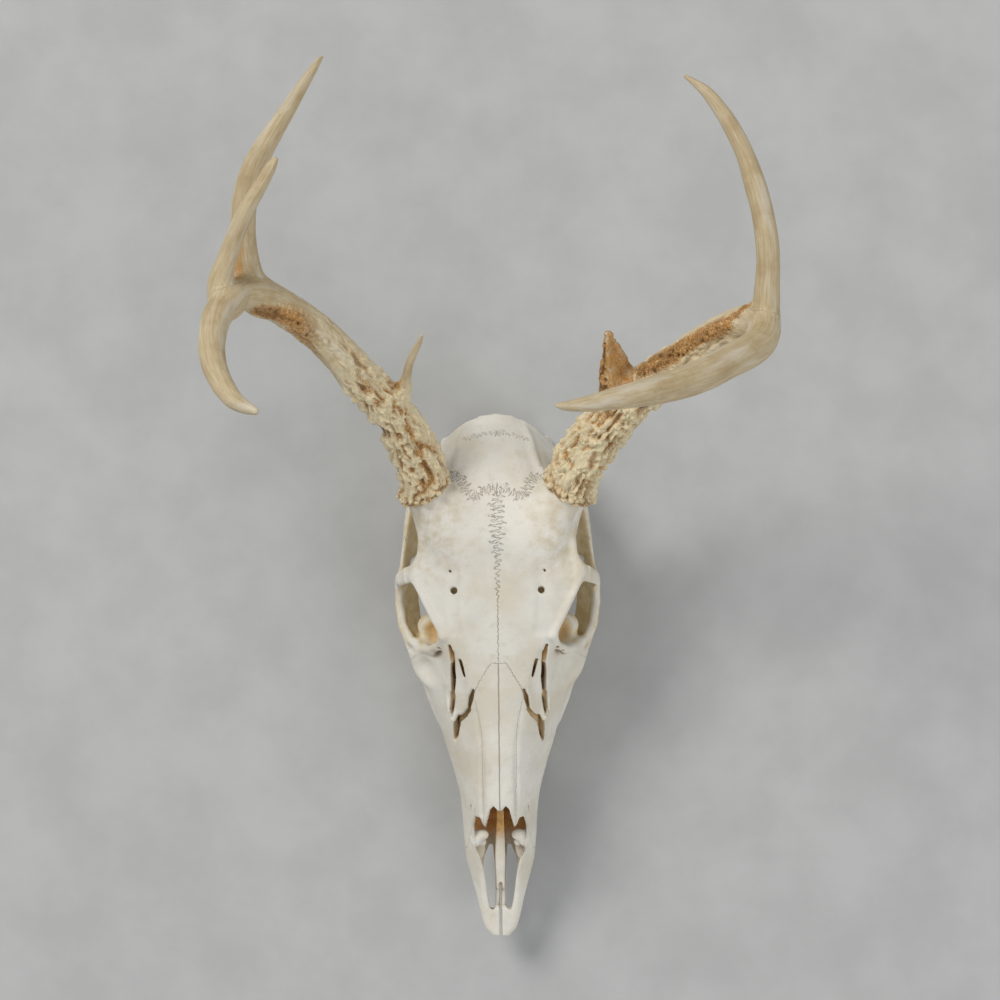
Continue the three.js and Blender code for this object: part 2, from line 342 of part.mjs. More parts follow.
function antlerField(side) {
  const sign = side === 'left' ? 1 : -1;
  const parts = Object.values(ANTLERS[side]).map((p) => makeTube(smooth(p, 3)));
  if (side === 'left') parts.push(makeBar(LEFT_BROW, LEFT_BROW_SIDE));
  const B = [BURR[0] * sign, BURR[1], BURR[2]], A = [AXIS[0] * sign, AXIS[1], AXIS[2]];
  const U = unit(cross(A, UP)), W = cross(A, U);
  return (x, s, z) => {
    let d = parts[0](x, s, z);
    for (let i = 1; i < parts.length; i++) d = smin(d, parts[i](x, s, z), 5);
    const q = [x - B[0], s - B[1], z - B[2]];
    if (dot(q, q) < 900) {
      const h = dot(q, A), a = dot(q, U), b = dot(q, W), lump = Math.cos(BURR_BEADS * Math.atan2(b, a));
      const ring = Math.hypot(Math.hypot(a, b) - 11.2 - 0.5 * lump, (h - 2.6) * 0.85) - (2.7 + 0.45 * lump);
      d = smin(d, ring, 2.5);
      if (dot(q, q) < 576) d = Math.max(d, GAP / 2 - h);
    }
    return d;
  };
}

// ------------------------------------------------------------------ field to closed mesh
// The lattice cubes are cut into six tetrahedra each, so the surface is always closed.
function meshField(f, lo, hi, h) {
  const n = [0, 1, 2].map((i) => Math.ceil((hi[i] - lo[i]) / h) + 1), B = 4;
  const nb = n.map((c) => Math.ceil((c - 1) / B));
  for (let i = 0; i < 3; i++) n[i] = nb[i] * B + 1;
  const [nx, ny, nz] = n, sy = nx, sz = nx * ny;
  const val = new Float32Array(nx * ny * nz).fill(NaN);
  const at = (i, j, k) => {
    const id = i + j * sy + k * sz;
    if (Number.isNaN(val[id])) {
      let v = f(lo[0] + i * h, lo[1] + j * h, lo[2] + k * h);
      if (Math.abs(v) < 1e-4) v = v < 0 ? -1e-4 : 1e-4;
      val[id] = v;
    }
    return val[id];
  };
  const corner = [[0, 0, 0], [1, 0, 0], [0, 1, 0], [1, 1, 0], [0, 0, 1], [1, 0, 1], [0, 1, 1], [1, 1, 1]];
  const TETS = [[0, 1, 3, 7], [0, 3, 2, 7], [0, 2, 6, 7], [0, 6, 4, 7], [0, 4, 5, 7], [0, 5, 1, 7]];
  const verts = [], tris = [], index = new Map();
  const edge = (a, b, va, vb) => {
    const key = a < b ? a * 8388608 * 8 + b : b * 8388608 * 8 + a;
    let id = index.get(key);
    if (id === undefined) {
      const t = clamp(va / (va - vb), 0.06, 0.94);
      const p = [a % sy, Math.floor(a / sy) % ny, Math.floor(a / sz)], q = [b % sy, Math.floor(b / sy) % ny, Math.floor(b / sz)];
      id = verts.length / 3;
      for (let e = 0; e < 3; e++) verts.push(lo[e] + h * (p[e] + t * (q[e] - p[e])));
      index.set(key, id);
    }
    return id;
  };
  for (let bk = 0; bk < nb[2]; bk++) for (let bj = 0; bj < nb[1]; bj++) for (let bi = 0; bi < nb[0]; bi++) {
    let near = false;
    for (const c of corner) if (Math.abs(at((bi + c[0]) * B, (bj + c[1]) * B, (bk + c[2]) * B)) < B * h * 1.8) near = true;
    if (!near) continue;
    for (let k = bk * B; k < bk * B + B; k++) for (let j = bj * B; j < bj * B + B; j++) for (let i = bi * B; i < bi * B + B; i++) {
      const id = corner.map((c) => (i + c[0]) + (j + c[1]) * sy + (k + c[2]) * sz);
      const v = corner.map((c) => at(i + c[0], j + c[1], k + c[2]));
      let neg = 0;
      for (const w of v) if (w < 0) neg++;
      if (neg === 0 || neg === 8) continue;
      for (const T of TETS) {
        const inn = T.filter((c) => v[c] < 0), out = T.filter((c) => v[c] >= 0);
        if (inn.length === 0 || inn.length === 4) continue;
        const e = (a, b) => edge(id[a], id[b], v[a], v[b]);
        // T is a positively turned tetrahedron; an even reordering keeps its sense
        const order = [...inn, ...out], even = parity(order.map((c) => T.indexOf(c)));
        const [a, b, c, d] = order;
        let faces;
        if (inn.length === 1) faces = [[e(a, b), e(a, c), e(a, d)]];
        else if (inn.length === 3) faces = [[e(a, d), e(b, d), e(c, d)]];
        else faces = [[e(a, c), e(a, d), e(b, d)], [e(a, c), e(b, d), e(b, c)]];
        for (const t of faces) tris.push(...(even ? t : [t[0], t[2], t[1]]));
      }
    }
  }
  return { verts, tris };
}
function parity(p) {
  let swaps = 0;
  for (let i = 0; i < p.length; i++) for (let j = i + 1; j < p.length; j++) if (p[i] > p[j]) swaps++;
  return swaps % 2 === 0;
}
function volumeOf({ verts, tris }) {
  let v = 0;
  for (let i = 0; i < tris.length; i += 3) {
    const [a, b, c] = [tris[i], tris[i + 1], tris[i + 2]].map((k) => [verts[3 * k], verts[3 * k + 1], verts[3 * k + 2]]);
    v += dot(a, cross(b, c)) / 6;
  }
  return v;
}

// ------------------------------------------------------------------ thinning
// Edges are folded in the order of least change of shape; a fold that would pinch the
// surface or turn a face over is left out.
function thin({ verts, tris }, target) {
  const nv = verts.length / 3, nf = tris.length / 3;
  const V = Float64Array.from(verts), T = Int32Array.from(tris);
  const Q = new Float64Array(nv * 10), faces = Array.from({ length: nv }, () => new Set());
  const alive = new Uint8Array(nf).fill(1), stamp = new Int32Array(nv);
  const normal = (a, b, c) => {
    const ux = V[3 * b] - V[3 * a], uy = V[3 * b + 1] - V[3 * a + 1], uz = V[3 * b + 2] - V[3 * a + 2];
    const wx = V[3 * c] - V[3 * a], wy = V[3 * c + 1] - V[3 * a + 1], wz = V[3 * c + 2] - V[3 * a + 2];
    return [uy * wz - uz * wy, uz * wx - ux * wz, ux * wy - uy * wx];
  };
  for (let f = 0; f < nf; f++) {
    const [a, b, c] = [T[3 * f], T[3 * f + 1], T[3 * f + 2]];
    const n = normal(a, b, c), l = Math.hypot(...n) || 1e-12, m = n.map((e) => e / l), w = l / 2;
    const d = -(m[0] * V[3 * a] + m[1] * V[3 * a + 1] + m[2] * V[3 * a + 2]), p = [...m, d];
    for (const v of [a, b, c]) {
      faces[v].add(f);
      let k = 10 * v;
      for (let i = 0; i < 4; i++) for (let j = i; j < 4; j++) Q[k++] += w * p[i] * p[j];
    }
  }
  const cost = (q, x, y, z) => q[0] * x * x + 2 * q[1] * x * y + 2 * q[2] * x * z + 2 * q[3] * x + q[4] * y * y
    + 2 * q[5] * y * z + 2 * q[6] * y + q[7] * z * z + 2 * q[8] * z + q[9];
  const plan = (a, b) => {
    const q = new Float64Array(10);
    for (let i = 0; i < 10; i++) q[i] = Q[10 * a + i] + Q[10 * b + i];
    const A = [V[3 * a], V[3 * a + 1], V[3 * a + 2]], B = [V[3 * b], V[3 * b + 1], V[3 * b + 2]];
    const mid = A.map((c, i) => (c + B[i]) / 2), len = Math.hypot(A[0] - B[0], A[1] - B[1], A[2] - B[2]);
    const e = 1e-3 * (q[0] + q[4] + q[7]) + 1e-9;  // leans the best point towards the middle
    const m = [q[0] + e, q[1], q[2], q[4] + e, q[5], q[7] + e], r = [-q[3] + e * mid[0], -q[6] + e * mid[1], -q[8] + e * mid[2]];
    const det = m[0] * (m[3] * m[5] - m[4] * m[4]) - m[1] * (m[1] * m[5] - m[4] * m[2]) + m[2] * (m[1] * m[4] - m[3] * m[2]);
    let best = mid, c = cost(q, ...mid);
    const tries = [A, B];
    if (Math.abs(det) > 1e-12) {
      tries.push([
        (r[0] * (m[3] * m[5] - m[4] * m[4]) - m[1] * (r[1] * m[5] - m[4] * r[2]) + m[2] * (r[1] * m[4] - m[3] * r[2])) / det,
        (m[0] * (r[1] * m[5] - r[2] * m[4]) - r[0] * (m[1] * m[5] - m[4] * m[2]) + m[2] * (m[1] * r[2] - r[1] * m[2])) / det,
        (m[0] * (m[3] * r[2] - m[4] * r[1]) - m[1] * (m[1] * r[2] - r[1] * m[2]) + r[0] * (m[1] * m[4] - m[3] * m[2])) / det]);
    }
    for (const t of tries) {
      if (Math.hypot(t[0] - mid[0], t[1] - mid[1], t[2] - mid[2]) > len) continue;
      const k = cost(q, ...t);
      if (k < c) { c = k; best = t; }
    }
    return { c: Math.max(c, 0) + 2e-4 * len * len, p: best, q };
  };
  // binary heap of [cost, a, b, stampA, stampB, plan]
  const heap = [];
  const push = (n) => {
    let i = heap.length; heap.push(n);
    while (i > 0) { const p = (i - 1) >> 1; if (heap[p][0] <= n[0]) break; heap[i] = heap[p]; i = p; }
    heap[i] = n;
  };
  const pop = () => {
    const top = heap[0], last = heap.pop();
    if (heap.length) {
      let i = 0;
      for (;;) {
        let k = 2 * i + 1;
        if (k >= heap.length) break;
        if (k + 1 < heap.length && heap[k + 1][0] < heap[k][0]) k++;
        if (heap[k][0] >= last[0]) break;
        heap[i] = heap[k]; i = k;
      }
      heap[i] = last;
    }
    return top;
  };
  const queue = (a, b) => { const n = plan(a, b); push([n.c, a, b, stamp[a], stamp[b], n]); };
  // height of a face over its longest side
  const slim = (f, area2) => {
    let longest = 0;
    for (let e = 0; e < 3; e++) {
      const p = T[3 * f + e], q = T[3 * f + (e + 1) % 3];
      longest = Math.max(longest, Math.hypot(V[3 * p] - V[3 * q], V[3 * p + 1] - V[3 * q + 1], V[3 * p + 2] - V[3 * q + 2]));
    }
    return area2 / (longest * longest);
  };
  const ring = (v) => { const s = new Set(); for (const f of faces[v]) for (let i = 0; i < 3; i++) if (T[3 * f + i] !== v) s.add(T[3 * f + i]); return s; };
  const fill = () => { for (let v = 0; v < nv; v++) if (faces[v].size) for (const w of ring(v)) if (w > v) queue(v, w); };
  fill();
  let left = nf, atFill = nf;
  while (left > target) {
    if (!heap.length) {
      if (left === atFill) break;
      atFill = left; fill();
    }
    const [, a, b, sa, sb, n] = pop();
    if (stamp[a] !== sa || stamp[b] !== sb) continue;
    const ra = ring(a), rb = ring(b);
    let common = 0;
    for (const w of ra) if (rb.has(w)) common++;
    const shared = [...faces[a]].filter((f) => faces[b].has(f));
    if (common !== 2 || shared.length !== 2 || ra.size + rb.size < 9) continue;
    // no face may turn over or fall flat
    let bad = false;
    const old = [V[3 * a], V[3 * a + 1], V[3 * a + 2], V[3 * b], V[3 * b + 1], V[3 * b + 2]];
    const around = [...faces[a], ...faces[b]].filter((f) => !shared.includes(f));
    const before = around.map((f) => normal(T[3 * f], T[3 * f + 1], T[3 * f + 2]));
    const shape = around.map((f, i) => slim(f, Math.hypot(...before[i])));
    for (let e = 0; e < 3; e++) { V[3 * a + e] = n.p[e]; V[3 * b + e] = n.p[e]; }
    for (let i = 0; i < around.length && !bad; i++) {
      const f = around[i], m = normal(T[3 * f], T[3 * f + 1], T[3 * f + 2]), lm = Math.hypot(...m), lb = Math.hypot(...before[i]);
      if (dot(m, before[i]) < 0.35 * lm * lb || lm < 1e-3) bad = true;
      else {
        const now = slim(f, lm);
        if (now < 0.06 && now < shape[i]) bad = true;
      }
    }
    if (bad) {
      for (let e = 0; e < 3; e++) { V[3 * a + e] = old[e]; V[3 * b + e] = old[3 + e]; }
      continue;
    }
    for (const f of shared) { alive[f] = 0; left--; for (let i = 0; i < 3; i++) faces[T[3 * f + i]].delete(f); }
    for (const f of faces[b]) { for (let i = 0; i < 3; i++) if (T[3 * f + i] === b) T[3 * f + i] = a; faces[a].add(f); }
    faces[b].clear();
    for (let i = 0; i < 10; i++) Q[10 * a + i] = n.q[i];
    stamp[a]++; stamp[b] = -1;
    for (const w of ring(a)) { queue(a, w); }
  }
  const map = new Map(), outV = [], outT = [];
  for (let f = 0; f < nf; f++) {
    if (!alive[f]) continue;
    for (let i = 0; i < 3; i++) {
      const v = T[3 * f + i];
      if (!map.has(v)) { map.set(v, outV.length / 3); outV.push(V[3 * v], V[3 * v + 1], V[3 * v + 2]); }
      outT.push(map.get(v));
    }
  }
  return { verts: outV, tris: outT };
}

// ------------------------------------------------------------------ solids and cuts
const wasm = await Module();
wasm.setup();
const toSolid = (vertices, triangles) => new wasm.Manifold(new wasm.Mesh({
  numProp: 3, vertProperties: Float32Array.from(vertices), triVerts: Uint32Array.from(triangles),
}));
function solidOf(geometry) {
  const g = geometry.index ? geometry.toNonIndexed() : geometry;
  g.deleteAttribute('normal'); g.deleteAttribute('uv');
  const m = mergeVertices(g, 1e-4);
  return toSolid(m.attributes.position.array, m.index.array);
}
// Prism over an outline seen from the side, points (s, z), from x0 to x1.
function sidePrism(points, x0, x1) {
  const g = new THREE.ExtrudeGeometry(new THREE.Shape(points.map((p) => new THREE.Vector2(...p))), { depth: x1 - x0, bevelEnabled: false, steps: 1 });
  g.applyMatrix4(new THREE.Matrix4().set(0, 0, 1, x0, 1, 0, 0, 0, 0, 1, 0, 0, 0, 0, 0, 1));
  return solidOf(g);
}
// Prism over an outline seen from above, points (x, s), from z0 to z1.
function topPrism(points, z0, z1) {
  const g = new THREE.ExtrudeGeometry(new THREE.Shape(points.map((p) => new THREE.Vector2(...p))), { depth: z1 - z0, bevelEnabled: false, steps: 1 });
  g.translate(0, 0, z0);
  return solidOf(g);
}
function box(x0, x1, s0, s1, z0, z1) { return topPrism([[x0, s0], [x1, s0], [x1, s1], [x0, s1]], z0, z1); }
// The outline grown outwards by d (its points run anticlockwise).
function grow(points, d) {
  const n = points.length;
  return points.map((p, i) => {
    const a = points[(i + n - 1) % n], b = points[(i + 1) % n];
    const u = unit([p[0] - a[0], p[1] - a[1]]), v = unit([b[0] - p[0], b[1] - p[1]]);
    const m = unit([u[1] + v[1], -(u[0] + v[0])]), k = d / Math.max(0.4, m[0] * u[1] - m[1] * u[0]);
    return [p[0] + m[0] * k, p[1] + m[1] * k];
  });
}
function largest(solid) {
  const all = solid.decompose();
  all.sort((a, b) => b.volume() - a.volume());
  return all[0];
}

const skullMesh = thin(meshField(skullField, [-60, -7.5, -6], [60, 285, 117], GRID), SKULL_TRIANGLES);
let rest = toSolid(skullMesh.verts, volumeOf(skullMesh) > 0 ? skullMesh.tris : flip(skullMesh.tris));
function flip(t) { const o = t.slice(); for (let i = 0; i < o.length; i += 3) { o[i] = t[i + 1]; o[i + 1] = t[i]; } return o; }
rest = largest(rest).subtract(box(-80, 80, -20, 300, -20, 0));

const pieces = {};
// take(outline, grown outline) parts one region off the rest of the bone
function take(region, grown) {
  const piece = rest.intersect(region);
  rest = rest.subtract(grown);
  return piece;
}
function halves(solid, left, right) {
  pieces[left] = largest(solid.intersect(box(GAP / 2, 80, -20, 300, -10, 140)));
  pieces[right] = largest(solid.intersect(box(-80, -GAP / 2, -20, 300, -10, 140)));
}

// Nasal bones: between the grooves, from the nose opening to the arrow-shaped suture.
const NASAL = [[-9.1, 57], [9.1, 57], [9.1, 105], [13.0, 122], [13.3, 132], [9, 139.3], [6, 144.6], [3, 148], [-3, 148], [-6, 144.6], [-9, 139.3], [-13.3, 132], [-13.0, 122], [-9.1, 105]];
const NASAL_UNDER = [[50, 48], [110, 66], [150, 80], [150, 120], [50, 120]];
const nasalRegion = topPrism(NASAL, 30, 130).intersect(sidePrism(NASAL_UNDER, -40, 40));
const nasalGrown = topPrism(grow(NASAL, GAP), 30, 130).intersect(sidePrism(grow(NASAL_UNDER, GAP), -40, 40));
halves(take(nasalRegion, nasalGrown), 'nasal_left', 'nasal_right');

// Frontal bones: the forehead with the upper orbit rims and the pedicles.
const FRONTAL = [[-13.4, 132], [13.4, 132], [20, 146.5], [24.3, 157], [31, 159.5], [60, 168], [60, 237.4], [-60, 237.4], [-60, 168], [-31, 159.5], [-24.3, 157], [-20, 146.5]];
const FRONTAL_SIDE = [[125, 77], [190, 79], [240, 84], [240, 130], [125, 130]];
const frontalRegion = topPrism(FRONTAL, 40, 130).intersect(sidePrism(FRONTAL_SIDE, -70, 70));
const frontalGrown = topPrism(grow(FRONTAL, GAP), 40, 130).intersect(sidePrism(grow(FRONTAL_SIDE, GAP), -70, 70));
halves(take(frontalRegion, frontalGrown), 'frontal_left', 'frontal_right');

// Cheek bones: the plate under the orbit, the lower postorbital bar and the front of the arch.
for (const [side, x0, x1] of [['left', 36.5, 70], ['right', -70, -36.5]]) {
  const region = box(x0, x1, 152, 214, 38, 79);
  const grown = box(x0 - GAP, x1 + GAP, 152 - GAP, 214 + GAP, 38 - GAP, 79 + GAP);
  pieces[`zygomatic_${side}`] = largest(take(region, grown));
}

// The braincase, from the back of the orbit on.
const back = rest.intersect(box(-70, 70, 173 + GAP / 2, 300, -10, 130));
let front = rest.intersect(box(-70, 70, -20, 173 - GAP / 2, -10, 130));
const OCCIPITAL = [[254, -5], [300, -5], [300, 130], [266, 130], [266, 88], [254, 0]];
pieces.occipital = largest(back.intersect(sidePrism(OCCIPITAL, -70, 70)));
let base = back.subtract(sidePrism(grow(OCCIPITAL, GAP), -71, 71));
pieces.parietal = largest(base.intersect(box(-70, 70, 237.4, 300, 68, 130)));
base = base.subtract(box(-70, 70, 237.4 - GAP, 300, 68 - GAP, 130));
for (const [side, x0, x1] of [['left', 15, 70], ['right', -70, -15]]) {
  pieces[`temporal_${side}`] = largest(base.intersect(box(x0, x1, 209, 300, -10, 68 - GAP)));
  base = base.subtract(box(x0 - GAP, x1 + GAP, 209 - GAP, 300, -10, 68));
}
pieces.sphenoid = largest(base);

// The face: vomer, then upper jaws with their teeth, then the two nose tips.
pieces.vomer = largest(front.intersect(box(-1.7, 1.7, 34, 174, 29.6, 80)));
front = front.subtract(box(-1.7 - GAP, 1.7 + GAP, 34 - GAP, 174, 29.6 - GAP, 80));
const TIP = [[-20, 10], [44, 10], [44, 24], [70, 66], [70, 90], [-20, 90]];
halves(front.intersect(sidePrism(TIP, -40, 40)), 'premaxilla_left', 'premaxilla_right');
halves(front.subtract(sidePrism(grow(TIP, GAP), -41, 41)), 'maxilla_left', 'maxilla_right');

// Antlers: each is meshed whole and parted at its forks by thin discs.
for (const side of ['left', 'right']) {
  const branches = { ...ANTLERS[side] };
  if (side === 'left') branches.brow_tine = LEFT_BROW;
  const all = Object.values(branches).flat();
  const lo = [0, 1, 2].map((i) => Math.min(...all.map((p) => p[i])) - 17);
  const hi = [0, 1, 2].map((i) => Math.max(...all.map((p) => p[i])) + 17);
  const m = thin(meshField(antlerField(side), lo, hi, GRID), ANTLER_TRIANGLES);
  let solid = largest(toSolid(m.verts, volumeOf(m) > 0 ? m.tris : flip(m.tris)));
  for (const [name, where, radius, beside] of FORK_CUTS[side]) {
    const p = branches[name], i = Math.floor(where), t = where - i;
    const c = [0, 1, 2].map((e) => p[i][e] + t * (p[i + 1][e] - p[i][e]));
    const d = new THREE.Vector3(p[i + 1][0] - p[i][0], p[i + 1][1] - p[i][1], p[i + 1][2] - p[i][2]).normalize();
    if (beside !== undefined) {
      const [u, v] = [branches.beam[beside], branches.beam[beside + 1]];
      const along = new THREE.Vector3(v[0] - u[0], v[1] - u[1], v[2] - u[2]).normalize();
      d.addScaledVector(along, -d.dot(along)).normalize();
    }
    const disc = new THREE.CylinderGeometry(radius, radius, GAP, 20);
    disc.applyQuaternion(new THREE.Quaternion().setFromUnitVectors(new THREE.Vector3(0, 1, 0), d));
    disc.translate(...c);
    solid = solid.subtract(solidOf(disc));
  }
  const parts = solid.decompose().filter((q) => q.volume() > 20);
  const centre = (q) => { const b = q.boundingBox(); return [0, 1, 2].map((e) => (b.min[e] + b.max[e]) / 2); };
  parts.sort((a, b) => b.volume() - a.volume());
  pieces[`antler_${side}_beam`] = parts.shift();
  const marks = { beam_end: branches.beam[14] };
  for (const name of Object.keys(branches)) if (name !== 'beam') marks[name] = branches[name][Math.floor(branches[name].length / 2)];
  for (const [name, mark] of Object.entries(marks)) {
    const near = parts.map((q) => { const c = centre(q); return Math.hypot(c[0] - mark[0], c[1] - mark[1], c[2] - mark[2]); });
    const k = near.indexOf(Math.min(...near));
    pieces[`antler_${side}_${name}`] = parts.splice(k, 1)[0];
  }
}

// ------------------------------------------------------------------ the scene graph
const BONE = { color: 0xded8c8, roughness: 0.62, metalness: 0 };
const ANTLER = { color: 0xb39a6e, roughness: 0.58, metalness: 0 };
const TINE = { color: 0xc9b48c, roughness: 0.5, metalness: 0 };
const group = new THREE.Group();
group.name = 'deer_skull';
for (const [name, solid] of Object.entries(pieces)) {
  const mesh = solid.getMesh(), g = new THREE.BufferGeometry();
  const pos = new Float32Array(mesh.numVert * 3);
  for (let i = 0; i < mesh.numVert; i++) for (let e = 0; e < 3; e++) pos[3 * i + e] = mesh.vertProperties[i * mesh.numProp + e];
  g.setAttribute('position', new THREE.BufferAttribute(pos, 3));
  g.setIndex(new THREE.BufferAttribute(new Uint32Array(mesh.triVerts), 1));
  g.computeVertexNormals();
  const look = !name.startsWith('antler') ? BONE : name.endsWith('beam') ? ANTLER : TINE;
  const node = new THREE.Mesh(g, new THREE.MeshStandardMaterial(look));
  node.name = name;
  node.position.set(SHIFT_X, NOSE_Y + SHIFT_Y, 0);
  group.add(node);
}

export default group;
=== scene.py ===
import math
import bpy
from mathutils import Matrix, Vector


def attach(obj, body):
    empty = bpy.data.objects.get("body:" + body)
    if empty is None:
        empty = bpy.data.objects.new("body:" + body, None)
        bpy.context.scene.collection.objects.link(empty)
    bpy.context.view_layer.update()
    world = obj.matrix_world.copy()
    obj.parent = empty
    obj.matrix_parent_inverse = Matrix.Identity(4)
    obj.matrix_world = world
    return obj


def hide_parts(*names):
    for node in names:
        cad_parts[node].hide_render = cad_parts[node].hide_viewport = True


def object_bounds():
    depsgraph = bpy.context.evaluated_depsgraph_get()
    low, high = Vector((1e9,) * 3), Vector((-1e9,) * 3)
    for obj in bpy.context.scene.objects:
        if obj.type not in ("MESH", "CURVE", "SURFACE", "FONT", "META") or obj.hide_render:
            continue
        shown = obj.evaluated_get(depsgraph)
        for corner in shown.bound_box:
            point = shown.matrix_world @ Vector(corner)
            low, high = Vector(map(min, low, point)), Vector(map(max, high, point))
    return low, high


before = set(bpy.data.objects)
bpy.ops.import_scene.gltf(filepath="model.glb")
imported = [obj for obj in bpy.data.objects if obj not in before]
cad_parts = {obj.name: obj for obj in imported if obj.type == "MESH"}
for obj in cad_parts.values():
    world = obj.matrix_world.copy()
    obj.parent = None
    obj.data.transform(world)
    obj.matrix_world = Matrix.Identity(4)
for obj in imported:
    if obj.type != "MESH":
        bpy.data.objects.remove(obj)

# White-tailed deer skull with antlers, lying on its cheek teeth, seen from straight above.
# The bone and the antlers are the CAD model's own fields taken at a finer pitch, with the
# relief that antler, teeth and sutures need. Millimetres in the fields; s runs back from the nose.
from concurrent.futures import ThreadPoolExecutor

import bpy
import numpy as np

CAD_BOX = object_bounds()
F = np.float32
SKULL_GRID = 0.6
ANTLER_GRID = 0.45
WALL = 2.6
NOSE_Y, SHIFT_X, SHIFT_Y = -231.0, 0.7, 15.6
SEAT_GAP = 0.15


def unit(v):
    v = np.asarray(v, float)
    return v / np.linalg.norm(v)


BURR = np.array([36.0, 235.9, 100.0])
AXIS = unit([0.44, 0.76, 0.47])
BURR_BEADS = 11

# Stations of the envelope: s; top of the midline; roof edge x, z; upper wall x, z
# widest point x, z; lower edge x, z; underside of the midline.
STATIONS = [
  [-1.5, 28.0, 2.0, 28.0, 3.2, 27.6, 4.2, 26.8, 3.5, 25.6, 25.4],
  [3, 29.5, 4.6, 29.3, 7.0, 28.6, 8.2, 27.2, 6.5, 25.0, 24.6],
  [10, 31.5, 6.0, 31.0, 9.0, 30.0, 10.4, 28.0, 8.5, 24.5, 24.0],
  [20, 35.0, 8.0, 34.5, 11.0, 32.5, 12.7, 28.6, 10.8, 24.2, 23.8],
  [31, 41.0, 9.2, 40.0, 13.0, 36.0, 15.6, 29.8, 13.2, 24.2, 24.4],
  [42, 48.5, 9.5, 47.0, 14.5, 41.0, 18.2, 31.5, 15.6, 24.6, 25.6],
  [53, 57.0, 9.3, 54.5, 15.2, 46.0, 19.2, 33.0, 16.6, 25.0, 27.0],
  [64, 66.2, 9.0, 63.0, 15.8, 51.0, 19.8, 35.0, 17.0, 25.4, 28.6],
  [75, 71.8, 9.0, 68.2, 16.8, 54.5, 21.0, 37.0, 17.8, 25.4, 29.2],
  [90, 75.8, 9.3, 72.3, 18.8, 58.5, 24.5, 40.0, 20.2, 24.0, 28.6],
  [102, 78.8, 10.0, 75.5, 21.2, 61.5, 28.2, 42.0, 23.2, 21.5, 27.0],
  [115, 82.0, 11.6, 79.0, 24.5, 65.0, 31.8, 45.0, 26.0, 18.8, 25.0],
  [125, 84.6, 13.2, 81.6, 26.8, 68.0, 35.0, 48.0, 27.8, 17.0, 23.4],
  [136, 87.6, 17.0, 84.2, 29.5, 71.5, 37.8, 52.0, 29.2, 15.4, 21.8],
  [147, 90.8, 21.8, 87.0, 31.0, 74.0, 38.6, 55.0, 30.2, 14.2, 20.4],
  [156, 93.8, 25.4, 89.4, 29.5, 76.0, 34.0, 54.0, 30.2, 13.6, 19.4],
  [165, 96.8, 29.0, 91.6, 24.5, 76.5, 25.5, 52.0, 28.8, 14.0, 18.8],
  [174, 99.6, 33.0, 93.2, 19.5, 79.0, 17.5, 55.0, 20.0, 26.0, 21.0],
  [183, 102.0, 37.4, 94.6, 18.2, 80.0, 15.5, 58.0, 13.8, 38.0, 30.0],
  [192, 104.0, 41.0, 95.4, 20.5, 81.0, 18.0, 60.0, 14.8, 42.0, 34.0],
  [203, 105.6, 39.0, 96.2, 27.0, 82.0, 25.5, 62.0, 18.0, 43.0, 34.5],
  [215, 106.6, 37.4, 96.4, 32.0, 81.0, 32.0, 62.0, 22.0, 43.0, 33.5],
  [227, 106.2, 35.0, 95.4, 34.6, 79.0, 35.0, 60.0, 25.0, 41.0, 31.5],
  [240, 102.4, 27.0, 93.4, 34.2, 75.0, 35.6, 57.0, 26.0, 38.0, 29.0],
  [252, 95.4, 21.0, 89.0, 31.6, 71.0, 34.4, 53.0, 25.0, 34.0, 26.5],
  [261, 88.4, 18.6, 83.4, 26.4, 68.0, 28.5, 50.0, 23.0, 30.0, 25.0],
  [268, 82.4, 15.0, 78.6, 19.5, 66.0, 21.5, 47.0, 19.0, 28.0, 24.5],
  [273.5, 77.2, 8.0, 75.0, 11.0, 65.0, 13.0, 46.0, 13.0, 30.0, 26.0],
]
SPAN_PIECES = 3 # straight pieces in each span of a section
UP = [0, 0, 1]
